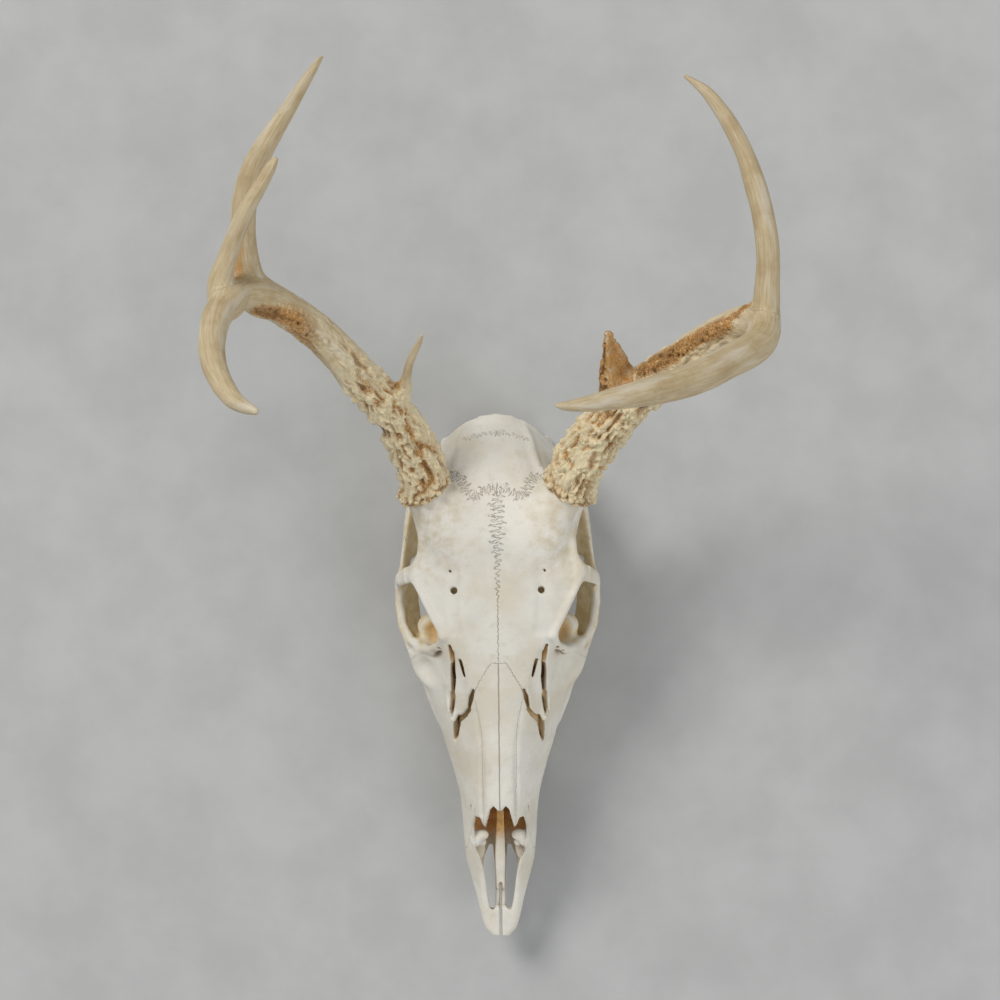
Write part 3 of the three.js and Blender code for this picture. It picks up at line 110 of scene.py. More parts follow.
BONES = [
  ["cheek mass", "ell", "add", 8, [[36, 150, 58], [9, 14, 13]]],
  ["orbit hollow", "ell", "cut", 3, [[40.5, 175.5, 76], [21, 19.5, 18.5]]],
  ["orbit depth", "ell", "cut", 5, [[30, 178, 70], [14, 17, 16]]],
  ["jugal plate", "bar", "add", 4, [[[37.5, 146, 52, 8.5, 3.2], [42.6, 155, 53, 9, 2.6], [45.9, 166, 52, 9.6, 2.2], [47.3, 178, 52, 9.4, 2.1], [47.6, 190, 54.5, 8, 2.2]], [0.56, 0, 0.83]]],
  ["zygomatic arch", "bar", "add", 3, [[[49.2, 188, 55.5, 6.2, 2.2], [48.2, 200, 54.5, 5.2, 2.1], [46.6, 213, 53.5, 4.8, 2.1], [44.5, 226, 51, 4.6, 2.4], [38.5, 237, 47.5, 4.4, 3.2]], [0.3, 0, 0.95]]],
  ["arch root", "bar", "add", 4, [[[45.0, 204, 52, 3, 1.8], [43.2, 210, 51, 5.4, 2.0], [42.0, 219, 49.5, 6.4, 2.4], [39.5, 230, 47.5, 7.0, 3.2]], [0.85, 0, 0.5]]],
  ["postorbital bar", "bar", "add", 3, [[[41, 194.5, 95.3, 4.4, 1.8], [46.5, 192.8, 90.5, 4.2, 1.7], [50.2, 191, 82, 3.6, 1.7], [51.3, 190, 72, 3.6, 1.9], [49.8, 189.5, 60, 5.2, 2.1]], [0, 1, 0.1]]],
  ["supraorbital rim", "tube", "add", 3, [[28.2, 161.5, 90.6, 1.6], [32.0, 169, 93.0, 1.6], [36.4, 178, 94.9, 1.6], [40.6, 187, 95.6, 1.6], [43.5, 193, 93.8, 1.6]]],
  ["anterior rim", "tube", "add", 3, [[28.2, 161.5, 90.6, 1.7], [30.6, 156.2, 84, 1.9], [35, 153.6, 75, 2.2], [40, 154.6, 66.5, 2.2], [45.4, 158.6, 61.5, 2.0], [49.4, 166.5, 59.8, 1.8], [51.2, 178, 60.0, 1.7], [51.2, 187, 63, 1.7]]],
  ["lacrimal pit", "ell", "cut", 5, [[39.5, 141, 70], [6, 8, 7]]],
  ["facial crest", "tube", "add", 6, [[30.2, 117, 42, 1.6], [34.4, 127, 45, 2.0], [36.6, 136, 48, 2.2], [38.8, 146, 54, 2.4]]],
  ["slit lateral upper", "bar", "cut", 0.8, [[[25.0, 156, 90, 5.5, 0.7], [24.1, 152.5, 88, 5.5, 1.3], [23.8, 147.4, 86, 5.5, 1.2], [24.0, 143.8, 84.5, 5.5, 0.8]], [0.25, 0, 0.97]]],
  ["slit lateral lower", "bar", "cut", 0.8, [[[24.1, 140.8, 83, 5.5, 0.8], [24.3, 137, 81.5, 5.5, 1.8], [24.7, 130.4, 78, 5.5, 1.4], [25.1, 122.8, 72, 5.0, 0.7]], [0.25, 0, 0.97]]],
  ["slit medial upper", "bar", "cut", 0.8, [[[13.7, 132.6, 85.5, 5, 0.8], [14.9, 128.5, 83, 6, 1.5], [16.1, 124, 81, 6, 1.1]], [0.3, 0, 0.95]]],
  ["slit medial crack", "bar", "cut", 0.5, [[[16.1, 124, 81, 6, 0.6], [16.6, 121.6, 80, 6, 0.6], [19.8, 117.8, 75, 6, 0.6]], [0.3, 0, 0.95]]],
  ["slit medial lower", "bar", "cut", 0.8, [[[21.3, 117.8, 72, 7, 1.3], [22.6, 114.2, 69, 7, 2.4], [23.0, 109.4, 65, 7, 2.0], [23.2, 105.5, 61, 5, 0.9]], [0.3, 0, 0.95]]],
  ["incisive opening", "bar", "cut", 0.8, [[[5.0, 46.5, 26, 14, 1.3], [5.9, 41, 26, 14, 2.7], [6.0, 35, 26, 14, 3.3], [5.5, 28, 26, 14, 2.9], [4.9, 20, 26, 14, 2.2], [4.5, 14.5, 26, 14, 1.5]], UP]],
  ["sunken plate", "bar", "cut", 2, [[[23, 152, 89.6, 2.2, 0.9], [20.0, 139, 84.8, 4.2, 1.6], [20.2, 127, 79.0, 4.0, 1.7], [22.6, 115, 70.5, 2.6, 1.2]], [0.8, 0, -0.6]]],
  ["alveolar process", "bar", "add", 4, [[[19.9, 88, 22.5, 5, 4.0], [23.2, 106, 20, 8.5, 4.8], [26.2, 124, 19, 9, 5.4], [27.4, 144, 18.5, 9, 6.0], [26.8, 162, 19.5, 8.5, 5.6]], UP]],
  ["glenoid shelf", "ell", "add", 4, [[34, 236, 45.5], [13, 8.5, 4.6]]],
  ["postglenoid", "ell", "add", 3, [[31, 243, 41], [7, 2.6, 5]]],
  ["basioccipital", "ell", "add", 5, [[0, 250, 27], [11, 24, 6]]],
  ["basisphenoid", "ell", "add", 5, [[0, 218, 33], [9, 22, 5]]],
  ["bulla", "ell", "add", 3, [[19.5, 243, 22], [6.6, 10.5, 8.5]]],
  ["ear tube", "tube", "add", 3, [[22, 246, 32, 5.2], [32, 248, 43, 4.8]]],
  ["mastoid", "ell", "add", 4, [[25.5, 256, 38], [4.8, 6, 16]]],
  ["paracondylar process", "bar", "add", 3.5, [[[26.5, 257.5, 32, 5.6, 3.2], [27.2, 260.5, 18, 4.4, 2.8], [26.4, 262.5, 3, 3.2, 2.6], [26.3, 262.8, -1.5, 3.0, 2.6]], [0, 1, 0]]],
  ["condyle", "ell", "add", 2.5, [[12.2, 264.8, 27.5], [7.4, 7.2, 11.5]]],
  ["condyle inner", "ell", "add", 3, [[8.5, 264, 19.5], [7, 7, 5.5]]],
  ["pterygoid plate", "bar", "add", 3, [[[12, 172, 24, 8.5, 1.6], [11, 186, 25, 8.5, 1.3], [10.8, 198, 28, 7, 1.3], [12.5, 208, 33, 4.5, 1.6]], UP]],
  ["maxillary tuber", "ell", "add", 4, [[25.5, 163, 27], [7.5, 13, 13]]],
  ["nuchal crest", "tube", "add", 3.5, [[0, 272.9, 76.4, 2.2], [8, 272.0, 76.2, 2.1], [14.5, 269.8, 75.0, 2.0], [19.6, 266.2, 72, 2.0], [23.6, 261.4, 67.5, 2.0], [26.2, 256.5, 60, 2.0], [28.2, 253.5, 51, 2.2]]],
  ["occipital hollow", "ell", "cut", 6, [[11, 280, 58], [11, 9, 15]]],
  ["occipital keel", "tube", "add", 5, [[0, 272.5, 72, 2.5], [0, 271.0, 60, 2.0], [0, 269.5, 50, 2.0]]],
  ["foramen magnum", "ell", "cut", 1.5, [[0, 276, 33.5], [10.2, 26, 9.4]]],
  ["pedicle", "tube", "add", 9, [[28.4, 222.6, 91.6, 12.4], [36.0, 235.9, 100.0, 11.6], [38.6, 240.5, 102.8, 11.6]]],
  ["supraorbital furrow", "bar", "cut", 2.5, [[[22.4, 198, 104.2, 3.0, 1.3], [22.4, 187, 101.3, 2.6, 1.6], [23.2, 176, 98.2, 2.6, 1.3], [22.2, 163, 94.5, 2.4, 1.0]], [1, 0, -0.2]]],
  ["forehead dish", "ell", "cut", 8, [[0, 186, 141], [30, 34, 38.8]]],
  ["frontal boss", "ell", "add", 10, [[20, 216, 99], [13, 15, 7.5]]],
  ["temporal line front", "tube", "add", 3, [[43, 196, 94.8, 1.5], [39.6, 203, 96.6, 1.5], [37.8, 214, 97.4, 1.6]]],
  ["temporal line back", "tube", "add", 4, [[27, 238, 94.8, 1.2], [21.4, 248, 91.4, 1.2], [18.6, 256, 86.8, 1.1], [17.6, 262, 82.4, 1.0], [15.5, 266.5, 79, 0.9]]],
  ["supraorbital foramen", "tube", "cut", 0.8, [[22.4, 186, 106, 1.9], [22.2, 184.5, 93, 1.7]]],
  ["infraorbital foramen", "tube", "cut", 1.2, [[30, 92, 40, 3.0], [20, 103, 42, 2.4]]],
]
# Openings, as [s, value] pairs.
NASAL_FLOOR = [[0, 26.5], [20, 28], [60, 31.5], [100, 31], [150, 27]]
NASAL_BACK = [[30, 138], [60, 143], [85, 150]]   # [z, s] where the cavity ends
NASAL_HALF = [[20, 14], [60, 15], [110, 21], [150, 25]]
APERTURE_HALF = [[0, 2.5], [12, 5.2], [20, 6.8], [35, 8.8], [42, 10.4], [48, 13.0], [60, 13.6], [66, 12.6], [80, 10]]
NASAL_TIPS = [[0, 69], [1, 69.5], [3.2, 72], [5, 70], [7.6, 60], [8.8, 61.5], [10.2, 65], [12.4, 65.5], [13.4, 62]] # [|x|, s]
SEPTUM_HALF = [[20, 2.0], [27, 2.3], [42, 2.7], [70, 1.9], [150, 1.7]]
SEPTUM_TOP = [[5, 28], [22, 30.5], [30, 34], [45, 40.5], [58, 44], [70, 46], [100, 50], [150, 62]]
CHOANA = [[0, 196, 25], [8.6, 40, 9.5]]
PALATE_ARCH = [[0, 120, 8], [16.5, 70, 13.5]]
NOSE_SPLIT = [0.55, 27] # half width and length of the gap between the two nose tips
# Cheek teeth of one side: s, |x|, length, width.
TEETH = [
  [95, 20.8, 9.0, 6.8], [106, 23.7, 10.2, 7.8], [117.5, 25.8, 11.2, 8.6],
  [130, 27.4, 13.2, 10.0], [144.5, 27.8, 14.4, 10.6], [159, 27.2, 13.6, 10.0],
]
CROWN_TOP = 17
# Antlers: centre line and radius (x, s, z, r) of each beam and tine.
ANTLERS = {
  "right": {
    "beam": [[-35.9, 236, 100, 11.7], [-36.9, 245.1, 106.5, 11.4], [-41.9, 258.1, 116, 11.1], [-48.7, 271, 127, 10.2], [-57.3, 282, 138, 9.4], [-67.1, 292.2, 150, 9.1], [-75.7, 303, 162, 8.8], [-86.5, 313.7, 174, 8.6], [-98.2, 322.2, 186, 8.5], [-110.6, 328.5, 198, 8.6], [-121.3, 329.4, 211, 7.5], [-128.3, 319.4, 228, 7], [-130, 306.8, 245, 6.4], [-128, 295.1, 260, 5.8], [-123.5, 285.4, 272, 5.2], [-117.7, 277.8, 282, 4.4], [-111.7, 273.7, 290, 3.2], [-106.4, 271.5, 295, 1.8]],
    "brow_tine": [[-50.5, 280, 134, 6], [-45.6, 286, 141, 3.6], [-43.7, 292.4, 149, 2.4], [-42.1, 298, 155, 2.1], [-39.1, 304.4, 161, 1.8], [-36.8, 308.4, 165.5, 1.4], [-35.6, 311.3, 168.5, 0.8]],
    "second_tine": [[-111.5, 328, 197, 7.8], [-115.8, 335.3, 200, 7.4], [-117.8, 344.5, 203.5, 6.8], [-118.4, 354.1, 208.5, 6.3], [-118, 363, 213.5, 6.1], [-116.6, 372.3, 219.5, 6], [-113.5, 382.4, 225.5, 5.7], [-108.8, 391.5, 231, 5.4], [-102.5, 400.4, 237.5, 4.7], [-93.6, 412.1, 246, 3.6], [-85.7, 422.6, 254.5, 2.6], [-80.3, 429.1, 261, 1.7], [-76.8, 432.9, 266, 0.7]],
    "third_tine": [[-124.6, 324, 218, 6.7], [-128.7, 332.6, 219, 5.9], [-123.7, 346.5, 226, 4.7], [-119.1, 356.8, 233, 4.2], [-113.5, 367.2, 239.5, 3.8], [-107.3, 376.3, 245, 3.3], [-102.1, 384.3, 249, 2.6], [-99.8, 387.7, 251, 1.5]],
  },
  "left": {
    "beam": [[37.4, 235.2, 100, 12.7], [39.6, 245.3, 106.5, 12.4], [47.3, 258.2, 117, 12.1], [57.5, 270.4, 129, 11.2], [68.6, 281.3, 141, 10.4], [79.9, 290.6, 153, 9.6], [91.9, 299.2, 166, 9], [103.3, 306.7, 179, 8.7], [113.9, 312.1, 192, 8.6], [121.9, 314.2, 204, 8.5], [126.4, 310.6, 215, 8.1], [123.2, 303, 226, 7.9], [115.8, 297.7, 236, 7.9], [107.1, 293.4, 246, 7.7], [95.7, 287.5, 257, 7.6], [83.4, 282.8, 268, 7.2], [67.6, 278.7, 280, 6.3], [52.2, 275.4, 290, 4.8], [40.9, 273.2, 296, 3.5], [31.7, 272.2, 300, 2.2], [27.4, 272.4, 302, 1]],
    "second_tine": [[125.9, 311.6, 207, 7.3], [127.8, 321.1, 213, 6.6], [128.1, 330.6, 218, 6], [128.2, 341, 223, 5.6], [127.3, 350.9, 227, 5.5], [125, 363.6, 231, 5.2], [121.3, 376.2, 235, 5.1], [116.8, 388.9, 238, 4.3], [111.2, 400.1, 241, 4], [105.5, 409.2, 243, 3.5], [99.2, 417, 245, 2.8], [93.7, 421.5, 246, 1.8], [88.8, 424.7, 247, 0.8]],
  },
}
# The left brow tine is a broad, flat, broken stump: (x, s, z, half width, half thickness).
LEFT_BROW = [[62, 282, 135, 10.5, 6.8], [59.6, 290.5, 144, 9.4, 5], [57.9, 299.6, 153.5, 7, 3.6], [56, 306.2, 161, 4.3, 2.4], [54.7, 311.4, 167, 1.7, 1.2]]
LEFT_BROW_SIDE = [0.83, 0.55, 0.1]
# Relief that is too fine for the CAD model.
EXTRA = [
    ["conchal lobe", "ell", "add", 1.5, [[9.9, 54.6, 46.2], [3.9, 3.0, 2.0]]],
    ["conchal lobe outer", "ell", "add", 1.5, [[12.6, 52.6, 45.6], [3.2, 4.2, 2.2]]],
    ["conchal lobe front", "ell", "add", 1.0, [[9.4, 50.6, 44.0], [2.2, 2.2, 1.4]]],
    ["conchal shelf", "ell", "add", 2.0, [[11.5, 47.5, 37.5], [3.6, 7.0, 2.4]]],
    ["naso-maxillary groove", "tube", "cut", 1.6, [[9.7, 67, 65.3, 1.7], [9.5, 76, 69.0, 1.7], [9.5, 90, 73.5, 1.7], [9.8, 104, 78.1, 1.6], [12.4, 121, 82.5, 1.3]]],
    ["slit floor low", "ell", "add", 1.0, [[23.6, 128, 70.6], [3.4, 12, 1.6]]],
    ["slit floor high", "ell", "add", 1.0, [[24.0, 150, 81.4], [2.3, 6, 2.4]]],
    ["slit side notch", "bar", "cut", 0.6, [[[19.4, 149.2, 87.0, 4.0, 0.9], [18.4, 145.5, 85.6, 4.0, 0.9], [17.4, 140.5, 84.4, 4.0, 0.5]], [0.25, 0, 0.97]]],
    ["slit join", "bar", "cut", 0.6, [[[23.8, 145.6, 85, 5.5, 1.2], [24.1, 139.2, 82.5, 5.5, 1.9]], [0.25, 0, 0.97]]],
    ["slit tail", "bar", "cut", 0.6, [[[24.7, 129, 77, 6.5, 2.0], [25.0, 119.5, 71, 6.5, 1.0]], [0.25, 0, 0.97]]],
    ["slit link", "bar", "cut", 0.6, [[[16.4, 122.5, 80.5, 6, 1.1], [18.6, 119.6, 77.5, 6, 1.3], [21.4, 117.0, 72, 6, 1.5]], [0.3, 0, 0.95]]],
    ["premaxilla notch", "bar", "cut", 0.5, [[[17.2, 66.5, 55, 3.0, 0.35], [16.2, 70.4, 58, 3.0, 0.3]], [0.5, 0, 0.87]]],
    ["vomer groove", "tube", "cut", 0.8, [[0, 25, 31.2, 0.9], [0, 44, 34.0, 1.0], [0, 62, 38.0, 1.1]]],
    ["small foramen", "tube", "cut", 0.4, [[24.2, 195.6, 108, 0.7], [24.0, 195, 100, 0.6]]],
    ["facial pit 1", "tube", "cut", 0.4, [[33.5, 141, 86, 0.6], [31.5, 140, 72, 0.5]]],
    ["facial pit 2", "tube", "cut", 0.4, [[31.0, 128, 80, 0.5], [29.5, 127, 66, 0.5]]],
    ["lacrimal hole 1", "tube", "cut", 0.5, [[33.2, 152, 80, 1.1], [30.5, 160, 77, 0.9]]],
    ["lacrimal hole 2", "tube", "cut", 0.5, [[31.0, 153.6, 86, 0.8], [28.8, 160, 83, 0.7]]],
    ["orbit shelf", "ell", "add", 3, [[33.5, 165.5, 62], [8.5, 7, 3.4]]],
    ["lacrimal cup", "ell", "cut", 2, [[33.0, 163.0, 70.5], [5.6, 5.6, 7.5]]],
]


# ------------------------------------------------------------------ fields
def smin(a, b, k):
    h = np.clip(0.5 + (b - a) * (0.5 / k), 0, 1)
    return b + (a - b) * h - k * h * (1 - h)


def smax(a, b, k):
    return -smin(-a, -b, k)


def section_table(pieces=6):
    """Half outline of the envelope at every millimetre of s."""
    st = np.array(STATIONS, float)
    xs, ys = st[:, 0], st[:, 1:]
    h = np.diff(xs)[:, None]
    d = np.diff(ys, axis=0) / h
    m = np.zeros_like(ys)
    w1, w2 = 2 * h[1:] + h[:-1], h[1:] + 2 * h[:-1]
    with np.errstate(divide="ignore", invalid="ignore"):
        m[1:-1] = np.where(d[:-1] * d[1:] > 0, (w1 + w2) / (w1 / d[:-1] + w2 / d[1:]), 0)
    m[0], m[-1] = d[0], d[-1]
    s = np.minimum(np.arange(xs[0], xs[-1] + 0.5, 1.0), xs[-1])
    i = np.clip(np.searchsorted(xs, s, side="right") - 1, 0, len(xs) - 2)
    hh = h[i]
    t = (s[:, None] - xs[i][:, None]) / hh
    t2, t3 = t * t, t * t * t
    c = (ys[i] * (2 * t3 - 3 * t2 + 1) + m[i] * hh * (t3 - 2 * t2 + t)
         + ys[i + 1] * (3 * t2 - 2 * t3) + m[i + 1] * hh * (t3 - t2))
    z = np.zeros(len(s))
    key = [(-c[:, 1], c[:, 2]), (z, c[:, 0]), (c[:, 1], c[:, 2]), (c[:, 3], c[:, 4]), (c[:, 5], c[:, 6]),
           (c[:, 7], c[:, 8]), (z, c[:, 9]), (-c[:, 7], c[:, 8])]
    key = [np.stack(k, 1) for k in key]
    out = []
    for k in range(1, 6):
        p0, p1, p2, p3 = key[k - 1], key[k], key[k + 1], key[k + 2]
        for j in range(pieces):
            u = j / pieces
            out.append(0.5 * (2 * p1 + (p2 - p0) * u + (2 * p0 - 5 * p1 + 4 * p2 - p3) * u * u
                              + (3 * p1 - p0 - 3 * p2 + p3) * u ** 3))
    out.append(key[6])
    return xs[0], xs[-1], np.array(out).astype(F)


S_FIRST, S_LAST, TABLE = section_table()
TX, TZ = np.ascontiguousarray(TABLE[:, :, 0]), np.ascontiguousarray(TABLE[:, :, 1])


def envelope(ax, s, z):
    q = np.clip(s - S_FIRST, 0, TABLE.shape[1] - 1.001)
    i = q.astype(np.int32)
    t = (q - i).astype(F)
    best = np.full(ax.shape, 1e9, F)
    inside = np.zeros(ax.shape, bool)
    px = TX[0][i] * (1 - t) + TX[0][i + 1] * t
    pz = TZ[0][i] * (1 - t) + TZ[0][i + 1] * t
    for k in range(1, len(TX)):
        x = TX[k][i] * (1 - t) + TX[k][i + 1] * t
        w = TZ[k][i] * (1 - t) + TZ[k][i + 1] * t
        ex, ez, dx, dz = x - px, w - pz, ax - px, z - pz
        h = np.clip((dx * ex + dz * ez) / (ex * ex + ez * ez + 1e-9), 0, 1)
        np.minimum(best, (dx - ex * h) ** 2 + (dz - ez * h) ** 2, out=best)
        with np.errstate(divide="ignore", invalid="ignore"):
            inside ^= ((pz > z) != (w > z)) & (ax < px + ex * dz / ez)
        px, pz = x, w
    d = np.sqrt(best)
    d = np.where(inside, -d, d)
    return np.maximum(np.maximum(d, S_FIRST - s), s - S_LAST).astype(F)


def make_ell(c, r):
    c, r = np.array(c, F), np.array(r, F)

    def f(Q):
        a = (Q - c) / r
        k0 = np.sqrt((a * a).sum(-1))
        b = a / r
        return k0 * (k0 - 1) / (np.sqrt((b * b).sum(-1)) + 1e-6)
    return [(f, c - r, c + r)]


def make_bar(points, side):
    side, out = unit(side), []
    for p, q in zip(points[:-1], points[1:]):
        A, B = np.array(p[:3], float), np.array(q[:3], float)
        L = np.linalg.norm(B - A)
        e = (B - A) / L
        u = unit(side - e * (side @ e))
        v = np.cross(e, u)

        def f(Q, A=A.astype(F), e=e.astype(F), u=u.astype(F), v=v.astype(F), L=F(L), a0=F(p[3]), b0=F(p[4]), da=F(q[3] - p[3]), db=F(q[4] - p[4])):
            r = Q - A
            w = r @ e
            t = np.clip(w / L, 0, 1)
            over = w - t * L
            a, b = a0 + da * t, b0 + db * t
            c = np.minimum(a, b)
            uu, vv = (r @ u) / a, (r @ v) / b
            oo = over / c
            k0 = np.sqrt(uu * uu + vv * vv + oo * oo)
            k1 = np.sqrt((uu / a) ** 2 + (vv / b) ** 2 + (oo / c) ** 2) + 1e-6
            return k0 * (k0 - 1) / k1
        R = max(p[3], p[4], q[3], q[4])
        out.append((f, np.minimum(A, B) - R, np.maximum(A, B) + R))
    return out


def make_tube(points):
    out = []
    for p, q in zip(points[:-1], points[1:]):
        A, E = np.array(p[:3], F), np.array([q[i] - p[i] for i in range(3)], F)

        def f(Q, A=A, E=E, r0=F(p[3]), dr=F(q[3] - p[3]), ee=F(E @ E)):
            r = Q - A
            t = np.clip((r @ E) / ee, 0, 1)
            return np.sqrt(((r - t[:, None] * E) ** 2).sum(-1)) - (r0 + dr * t)
        R = max(p[3], q[3])
        out.append((f, np.minimum(A, A + E) - R, np.maximum(A, A + E) + R))
    return out


NEAR = 9.0


def union(Q, lo, hi, parts, k=0):
    """Nearest of the parts, or None if no part is near these points."""
    best = None
    for f, a, b in parts:
        if (a - hi > NEAR + k).any() or (lo - b > NEAR + k).any():
            continue
        d = f(Q)
        best = d if best is None else np.minimum(best, d)
    return best


def worked(rows):
    return [(op == "add", k, make_ell(*data) if kind == "ell" else make_bar(*data) if kind == "bar" else make_tube(data))
            for name, kind, op, k, data in rows]


WORK, FINE = worked(BONES), worked(EXTRA)


def apply(d, Q, lo, hi, work):
    for add, k, parts in work:
        e = union(Q, lo, hi, parts, k)
        if e is not None:
            d = smin(d, e, k) if add else smax(d, -e, k)
    return d


def table(t, rows):
    a = np.array(rows, float)
    return np.interp(t, a[:, 0], a[:, 1]).astype(F)


def teeth(ax, s, z):
    """Six cheek teeth on a side, lobed, with ridges on the cheek side and hollows on the worn faces."""
    best = np.full(ax.shape, 50, F)
    for n, (s0, x0, L, W) in enumerate(TEETH):
        near = (np.abs(s - s0) < L) & (np.abs(ax - x0) < W + 4)
        if not near.any():
            continue
        x, u, h = ax[near] - x0, (s[near] - s0) / (L / 2 - 0.1), z[near]
        wave = 0.55 * (np.exp(-((np.abs(u) - 0.95) / 0.13) ** 2) + (np.exp(-(u / 0.13) ** 2) if n > 2 else 0))
        cleft = 1.7 * np.exp(-(u / 0.17) ** 2) if n > 2 else 0
        a = W / 2 + np.where(x > 0, wave, -cleft) - 0.03 * np.maximum(h - 6, 0)
        k = (np.abs(x / a) ** 3 + np.abs(u) ** 3) ** (1 / 3)
        d = np.maximum((k - 1) * min(W, L) / 2, h - CROWN_TOP)
        for c in ((-0.5, 0.5) if n > 2 else (0.0,)):
            w = 0.24 if n > 2 else 0.42
            ring = np.abs(np.hypot((x + 0.3) / (W * 0.5), (u - c) / (w * 1.75)) - 0.52) - 0.14
            d = np.maximum(d, -np.maximum(ring * W * 0.4, h - 1.5))
        best[near] = np.minimum(best[near], d)
    return best


def skull_base(ax, Q, lo, hi):
    s, z = Q[:, 1], Q[:, 2]
    env = envelope(ax, s, z)
    d = apply(env, Q, lo, hi, WORK)
    if lo[1] < 165:
        floor = table(s, NASAL_FLOOR) - z
        cavity = smax(env + F(WALL), floor, 2)
        cavity = smax(cavity, s - table(z, NASAL_BACK), 4)
        cavity = smax(cavity, ax - table(s, NASAL_HALF), 3)
        cavity = np.maximum(cavity, 12 - s)
        top = smax(ax - table(s, APERTURE_HALF), floor, 3)
        top = smax(smax(top, s - table(ax, NASAL_TIPS), 0.8), (20 - 1.17 * (z - 27) - s) / 1.5, 3)
        d = smax(d, -np.minimum(cavity, top), 0.8)
        if lo[1] < 136 and hi[1] > 100:
            # thin scrolls of bone just under the slits beside the nasals
            path = np.interp(s, [104, 118, 133], [22.5, 19.5, 14.5]).astype(F)
            scroll = smax(np.abs(env + F(6.2)) - F(0.9), np.maximum(np.abs(s - 118) - 17, np.abs(ax - path) - 5.5), 1)
            d = smin(d, scroll, 0.8)
        d = smax(d, -np.maximum(ax - NOSE_SPLIT[0], s - NOSE_SPLIT[1]), 0.4)
        wall = np.maximum(ax - table(s, SEPTUM_HALF), z - table(s, SEPTUM_TOP))
        wall = np.maximum(np.maximum(wall, 24 - z), np.maximum(24 - s, s - 153))
        d = smin(d, wall, 1)
    d = smax(d, -make_ell(*CHOANA)[0][0](Q), 2)
    d = smax(d, -make_ell(*PALATE_ARCH)[0][0](Q), 3)
    d = apply(d, Q, lo, hi, FINE)
    if lo[1] < 175 and lo[2] < 24:
        d = smin(d, teeth(ax, s, z), 1)
    r = Q - BURR.astype(F)
    h = r @ AXIS.astype(F)
    d = np.where((r * r).sum(-1) < 400, np.maximum(d, h + SEAT_GAP), d)
    return env, np.maximum(d, -z)


def skull_field(P):
    ax = np.abs(P[:, 0])
    Q = np.stack([ax, P[:, 1], P[:, 2]], 1)
    return skull_base(ax, Q, Q.min(0), Q.max(0))[1].astype(F)


def spline(rows, n):
    """Catmull-Rom through the rows, n pieces in each span."""
    P = np.array(rows, float)
    Q = np.vstack([2 * P[0] - P[1], P, 2 * P[-1] - P[-2]])
    out = []
    for i in range(len(P) - 1):
        a, b, c, d = Q[i:i + 4]
        for j in range(n):
            t = j / n
            out.append(0.5 * (2 * b + (c - a) * t + (2 * a - 5 * b + 4 * c - d) * t * t + (3 * b - a - 3 * c + d) * t ** 3))
    out.append(P[-1])
    return np.array(out)


def antler_field(side):
    sign = 1 if side == "left" else -1
    branches = [make_tube(spline(rows, 4)) for rows in ANTLERS[side].values()]
    if side == "left":
        branches.append(make_bar(LEFT_BROW, LEFT_BROW_SIDE))
    B, A = BURR * [sign, 1, 1], AXIS * [sign, 1, 1]
    U = unit(np.cross(A, (0, 0, 1)))
    W = np.cross(A, U)

    def f(P):
        lo, hi = P.min(0), P.max(0)
        d = np.full(len(P), 40, F)
        for parts in branches:
            e = union(P, lo, hi, parts, 5)
            if e is not None:
                d = smin(d, e, 5)
        q = P - B.astype(F)
        rr = (q * q).sum(-1)
        m = rr < 900
        if m.any():
            qm = q[m]
            h, a, b = qm @ A.astype(F), qm @ U.astype(F), qm @ W.astype(F)
            lump = np.cos(BURR_BEADS * np.arctan2(b, a))
            ring = np.hypot(np.hypot(a, b) - 11.2 - 0.5 * lump, (h - 2.6) * 0.85) - (2.7 + 0.45 * lump)
            e = smin(d[m], ring, 2.5)
            d[m] = np.where(rr[m] < 576, np.maximum(e, SEAT_GAP - h), e)
        return d.astype(F)
    return f


# ------------------------------------------------------------------ field to mesh
CORNERS = [(a, b, c) for a in (0, 1) for b in (0, 1) for c in (0, 1)]


def evaluate(f, P, size=60000):
    parts = np.array_split(P, max(1, len(P) // size))
    with ThreadPoolExecutor(4) as pool:
        return np.concatenate(list(pool.map(f, parts)))


